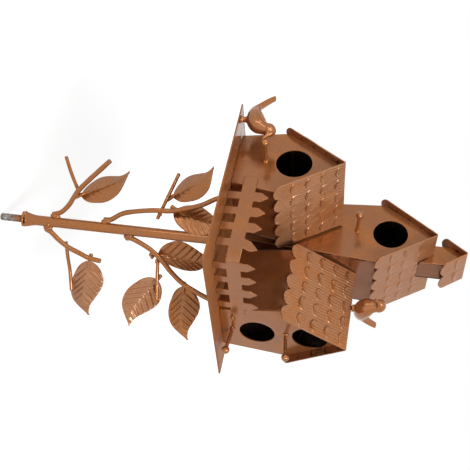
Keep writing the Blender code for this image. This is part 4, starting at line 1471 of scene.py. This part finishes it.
def pressed_copy(node: str, name: str, finish: Finish, slot: Slot, edge: float) -> None:
    """A merged copy of a flat cut sheet, with eased edges.

    Args:
        node: The solid that it is copied from and stands for.
        name: The piece's name.
        finish: What its surface is.
        slot: Passed on to dressed, which does not use it.
        edge: Radius of the eased edges.
    """
    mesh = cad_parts[node].data.copy()
    mesh.materials.clear()
    join_points(mesh)
    thing = dressed(mesh, name, finish, slot, node, angle=35)
    ease_edges(thing, edge, 3)


@dataclass
class Bead:
    """A blob of weld: where it sits, its half axes, and how far they turn about +Z."""

    at: tuple[float, float, float]
    size: tuple[float, float, float]
    seed: int = 1
    turn: float = 0.0


def weld(name: str, beads: list[Bead], finish: Finish = WELD) -> None:
    """Lumpy blobs of weld metal in one piece.

    Each is a ball of latitude and longitude, stretched to its three half axes, whose
    radius swells and shrinks by up to a fifth.

    Args:
        name: The piece's name.
        beads: The blobs.
        finish: What their surface is.
    """
    skin = Skin()
    lift = np.linspace(-0.97, 0.97, 14)[:, None] * math.pi / 2
    turn = (np.arange(22) / 22 * TAU)[None]
    ball = np.stack([np.cos(lift) * np.cos(turn), np.cos(lift) * np.sin(turn), np.sin(lift) + 0 * turn], -1)
    for bead in beads:
        swell = 1 + 0.16 * ripple(ball, 1.6, bead.seed) + 0.06 * ripple(ball, 0.6, bead.seed + 50)
        points = placed(ball * swell[..., None] * np.array(bead.size),
                        Matrix.Translation(bead.at) @ Matrix.Rotation(bead.turn, 4, "Z"))
        index = skin.grid(points, close_v=True)
        skin.cap(index[0], flip=True)
        skin.cap(index[-1])
    skin.piece(name, finish, Slot.ROD, angle=80)


@dataclass
class Village:
    """The three houses on the platform, with the chimney, fence and birds."""

    house_a: Matrix = field(default_factory=lambda: facing(0, -0.0528, -0.0695, DECK_TOP))
    house_b: Matrix = field(default_factory=lambda: facing(90, 0.0739, 0.0471, DECK_TOP))
    tower: Matrix = field(default_factory=lambda: facing(0, -0.0478, 0.0205, DECK_TOP))
    setback: float = 0.0275

    def houses(self) -> None:
        """Walls and roofs."""
        # House A's roof takes the lighter enamel that is painted light.
        roof_a = Roof("roof_of_house_a", self.house_a, ridge_z=0.1094, half_span=0.0438, drop=0.0657,
                      front=-0.0085, length=0.0952, finish=ROOF_WITH_PAINTED_LIGHT,
                      relief=Relief(groove=0.00046, grooved=0.42, dent=0.00034, lump=0.0006, lump_at=0.76, seed=3))
        roof_b = Roof("roof_of_house_b", self.house_b, ridge_z=0.1287, half_span=0.0437, drop=0.0662,
                      front=-0.0097, length=0.0945,
                      relief=Relief(groove=0.00034, lump=0.0011, lump_at=0.74, seed=15))
        roof_t = Roof("roof_of_tower", self.tower, ridge_z=0.2087, half_span=0.0425, drop=0.0616,
                      front=-0.0071, length=0.0970, tilt=-2.0, lip=0.0011,
                      relief=Relief(groove=0.00002, lump=0.0004, dent=0.00020, lump_at=0.6, seed=27))
        on_ridge = self.tower @ Matrix.Translation((0, self.setback, 0))
        cap = Roof("roof_of_chimney", on_ridge, ridge_z=0.2424, half_span=0.0198, drop=0.0266,
                   front=-0.0090, length=0.0444, lobes=2,
                   relief=Relief(groove=0.00002, lump=0.0, dent=0.00016, seed=39))
        roof_a.build((0.038, 0.0770), "house_a_roof")
        roof_b.build((0.038, 0.0770), "house_b_roof")
        roof_t.build((0.038, 0.0750), "tower_roof")
        cap.build((0.0115, 0.0266), "chimney_roof")
        House("house_a", self.house_a, base_half=0.0316, flare=0.181, depth=0.0770, roof=roof_a,
              entries=[(0.0, 0.0583)], seed=1).build()
        House("house_b", self.house_b, base_half=0.0312, flare=0.158, depth=0.0770, roof=roof_b,
              entries=[(0.0026, 0.0372), (0.0026, 0.0908)], seed=2).build()
        House("tower", self.tower, base_half=0.0259, flare=0.0812, depth=0.0750, roof=roof_t,
              entries=[(0.0, 0.1603)], slits=[(0.087, 0.104), (0.118, 0.139)], seed=3).build()
        Chimney(on_ridge, roof_t, self.setback, cap).build()

    def pegs(self) -> None:
        """The four perches."""
        Perch("house_a_perch", self.house_a, x=0.0, z=0.0298, tilt=0.0).build()
        Perch("house_b_lower_perch", self.house_b, x=0.0013, z=0.0118, tilt=-5.0).build()
        Perch("house_b_upper_perch", self.house_b, x=0.0013, z=0.0664, tilt=8.0).build()
        Perch("tower_perch", self.tower, x=0.0, z=0.1251, tilt=4.0).build()

    def birds(self) -> None:
        """The bird on the platform and the bird on house B's ridge."""
        turn = Matrix.Rotation(math.radians(-6.0), 4, "Z")
        Bird("bird_1", Matrix.Translation((-0.0842, -0.0940, DECK_TOP)) @ turn).build()
        turn = Matrix.Rotation(math.radians(-80.0), 4, "Z")
        Bird("bird_2", Matrix.Translation((0.0330, 0.0471, DECK_TOP + 0.1252)) @ turn, leg=0.0042).build()

    def welds(self) -> None:
        """Blobs where pegs, fence, chimney, tower and birds are welded on."""
        top = DECK_TOP
        weld("welds_on_houses", [
            Bead((-0.0528, -0.0700, top + 0.0298), (0.0032, 0.0010, 0.0030), 1),
            Bead((0.0744, 0.0484, top + 0.0664), (0.0010, 0.0034, 0.0030), 2),
            Bead((0.0744, 0.0484, top + 0.0118), (0.0010, 0.0034, 0.0030), 3),
            Bead((-0.0478, 0.0200, top + 0.1251), (0.0034, 0.0010, 0.0032), 4),
            Bead((0.0748, 0.0200, top + 0.0150), (0.0012, 0.0038, 0.0024), 5),
            Bead((0.0750, 0.0268, top + 0.0132), (0.0012, 0.0030, 0.0020), 6),
            Bead((-0.0350, 0.0525, top + 0.1890), (0.0012, 0.0022, 0.0012), 8),
            Bead((-0.0352, 0.0600, top + 0.1885), (0.0012, 0.0018, 0.0012), 9),
            Bead((0.0330, 0.0471, top + 0.1296), (0.0040, 0.0030, 0.0012), 10),
            Bead((-0.0834, -0.0941, top + 0.0006), (0.0044, 0.0040, 0.0010), 11),
        ])

    def build(self) -> None:
        """Everything on the platform."""
        pressed_copy("platform", "platform_sheet", DECK, Slot.PLATFORM, 0.0004)
        pressed_copy("fence", "picket_fence", WALL, Slot.WALL, 0.00045)
        self.houses()
        self.pegs()
        self.birds()
        self.welds()


# Studio


@dataclass
class Studio:
    """Camera, light, floor and background."""

    focal: float = 900.0            # in pixels of the photograph
    pixels: float = 470.0
    azimuth: float = math.radians(37.384)
    elevation: float = math.radians(9.228)
    roll: float = math.radians(6.167)
    position: tuple[float, float, float] = (0.54981, -0.73121, 0.40355)
    ambient: float = 0.24           # the world's strength where it isn't seen
    floor_radius: float = 3.0
    floor_drop: float = 0.0006      # just below the stud's end
    floor_grey: float = 0.50
    floor_glow: tuple[float, float] = (0.76, 1.0)       # near the object and far from it
    floor_band: tuple[float, float] = (0.20, 0.9)       # where it goes from one to the other

    def camera(self) -> None:
        """The camera at the photograph's viewpoint, turned as the photograph is."""
        a, e, r = self.azimuth, self.elevation, self.roll
        back = Vector((math.sin(a) * math.cos(e), -math.cos(a) * math.cos(e), math.sin(e)))
        right = Vector((math.cos(a), math.sin(a), 0.0))
        up = back.cross(right)
        across = right * math.cos(r) + up * math.sin(r)
        rise = up * math.cos(r) - right * math.sin(r)
        lens = bpy.data.cameras.new("camera")
        lens.sensor_width = 36.0
        lens.lens = self.focal / self.pixels * lens.sensor_width
        lens.clip_start, lens.clip_end = 0.01, 50.0
        thing = bpy.data.objects.new("camera", lens)
        turn = Matrix((rise, -across, back)).transposed().to_4x4()
        thing.matrix_world = Matrix.Translation(self.position) @ turn
        bpy.context.scene.collection.objects.link(thing)
        bpy.context.scene.camera = thing

    def lamp(self, name: str, at: tuple[float, float, float], aim: tuple[float, float, float],
             size: tuple[float, float], power: float) -> None:
        """A soft rectangular lamp that shines from one point at another.

        Args:
            name: The lamp's name.
            at: Where it stands.
            aim: The point that it faces.
            size: Its width and height, in metres.
            power: In watts.
        """
        data = bpy.data.lights.new(name, "AREA")
        data.shape = "RECTANGLE"
        data.size, data.size_y = size
        data.energy = power
        thing = bpy.data.objects.new(name, data)
        thing.location = at
        thing.visible_camera = False
        thing.rotation_mode = "QUATERNION"
        thing.rotation_quaternion = (Vector(aim) - Vector(at)).to_track_quat("-Z", "Y")
        bpy.context.scene.collection.objects.link(thing)

    def seen_white(self, tree: bpy.types.NodeTree) -> bpy.types.NodeSocket:
        """A value that is 1 where a camera, glossy or transmission ray looks, else 0.

        Args:
            tree: Node tree that it is made in.

        Returns:
            The value.
        """
        path = tree.nodes.new("ShaderNodeLightPath")
        total = path.outputs["Is Camera Ray"]
        for name in ("Is Glossy Ray", "Is Transmission Ray"):
            larger = tree.nodes.new("ShaderNodeMath")
            larger.operation = "MAXIMUM"
            tree.links.new(total, larger.inputs[0])
            tree.links.new(path.outputs[name], larger.inputs[1])
            total = larger.outputs[0]
        return total

    def world(self) -> None:
        """White where it is seen, and a soft even light elsewhere."""
        world = bpy.data.worlds.new("studio")
        world.use_nodes = True
        tree = world.node_tree
        strength = tree.nodes.new("ShaderNodeMapRange")
        strength.inputs["To Min"].default_value = self.ambient
        strength.inputs["To Max"].default_value = 1.0
        tree.links.new(self.seen_white(tree), strength.inputs["Value"])
        background = tree.nodes["Background"]
        background.inputs["Color"].default_value = (1, 1, 1, 1)
        tree.links.new(strength.outputs[0], background.inputs["Strength"])
        bpy.context.scene.world = world

    def floor(self) -> None:
        """A pale disc that looks white and keeps the object's shadow.

        The rings' radii grow with the square of their number. The glow that lifts the
        floor to white is a little weaker near the object, so that the shadow shows.
        """
        radius = self.floor_radius * np.linspace(0, 1, 24)[1:, None] ** 2
        turn = (np.arange(64) / 64 * TAU)[None]
        rings = np.stack([radius * np.cos(turn), radius * np.sin(turn), -self.floor_drop + 0 * radius * turn], -1)
        skin = Skin()
        index = skin.grid(rings, close_v=True)
        skin.cap(index[0])
        mesh = bpy.data.meshes.new("floor")
        mesh.from_pydata(np.vstack(skin.points).tolist(), [], skin.faces)
        thing = bpy.data.objects.new("floor", mesh)
        bpy.context.scene.collection.objects.link(thing)
        nodes = Nodes("pale_floor")
        nodes.fix(Roughness=0.9, Specular_IOR_Level=0.0)
        nodes.shader.inputs["Base Color"].default_value = (*[self.floor_grey] * 3, 1.0)
        glow = nodes.add("ShaderNodeEmission", Color=(1, 1, 1, 1))
        far = nodes.add("ShaderNodeVectorMath", operation="LENGTH", _0=nodes.place).outputs["Value"]
        strength = nodes.add("ShaderNodeMath", operation="MULTIPLY",
                             _1=nodes.band(far, *self.floor_band, *self.floor_glow))
        nodes.tree.links.new(self.seen_white(nodes.tree), strength.inputs[0])
        nodes.tree.links.new(strength.outputs[0], glow.inputs["Strength"])
        both = nodes.add("ShaderNodeAddShader", _0=nodes.shader.outputs[0], _1=glow.outputs[0])
        nodes.tree.links.new(both.outputs[0], nodes.tree.nodes["Material Output"].inputs["Surface"])
        mesh.materials.append(nodes.material)

    def build(self) -> None:
        """Everything that isn't part of the object."""
        self.camera()
        self.world()
        self.floor()
        self.lamp("front", (-0.045, -0.52, 0.42), (0, 0, 0.40), (0.06, 0.80), 0.8)
        self.lamp("fill", (-0.40, -1.30, 0.75), (0, 0, 0.30), (0.50, 0.50), 2.0)
        self.lamp("side", (1.02, -0.59, 1.22), (0, 0, 0.30), (0.35, 1.30), 19.0)
        bpy.context.scene.view_settings.view_transform = "Standard"


def main() -> None:
    """Build every piece in order."""
    logging.basicConfig(level=logging.INFO, format="%(name)s: %(message)s")
    Studio().build()
    Pole().build()
    Spray().build()
    Village().build()


if __name__ == "__main__":
    main()
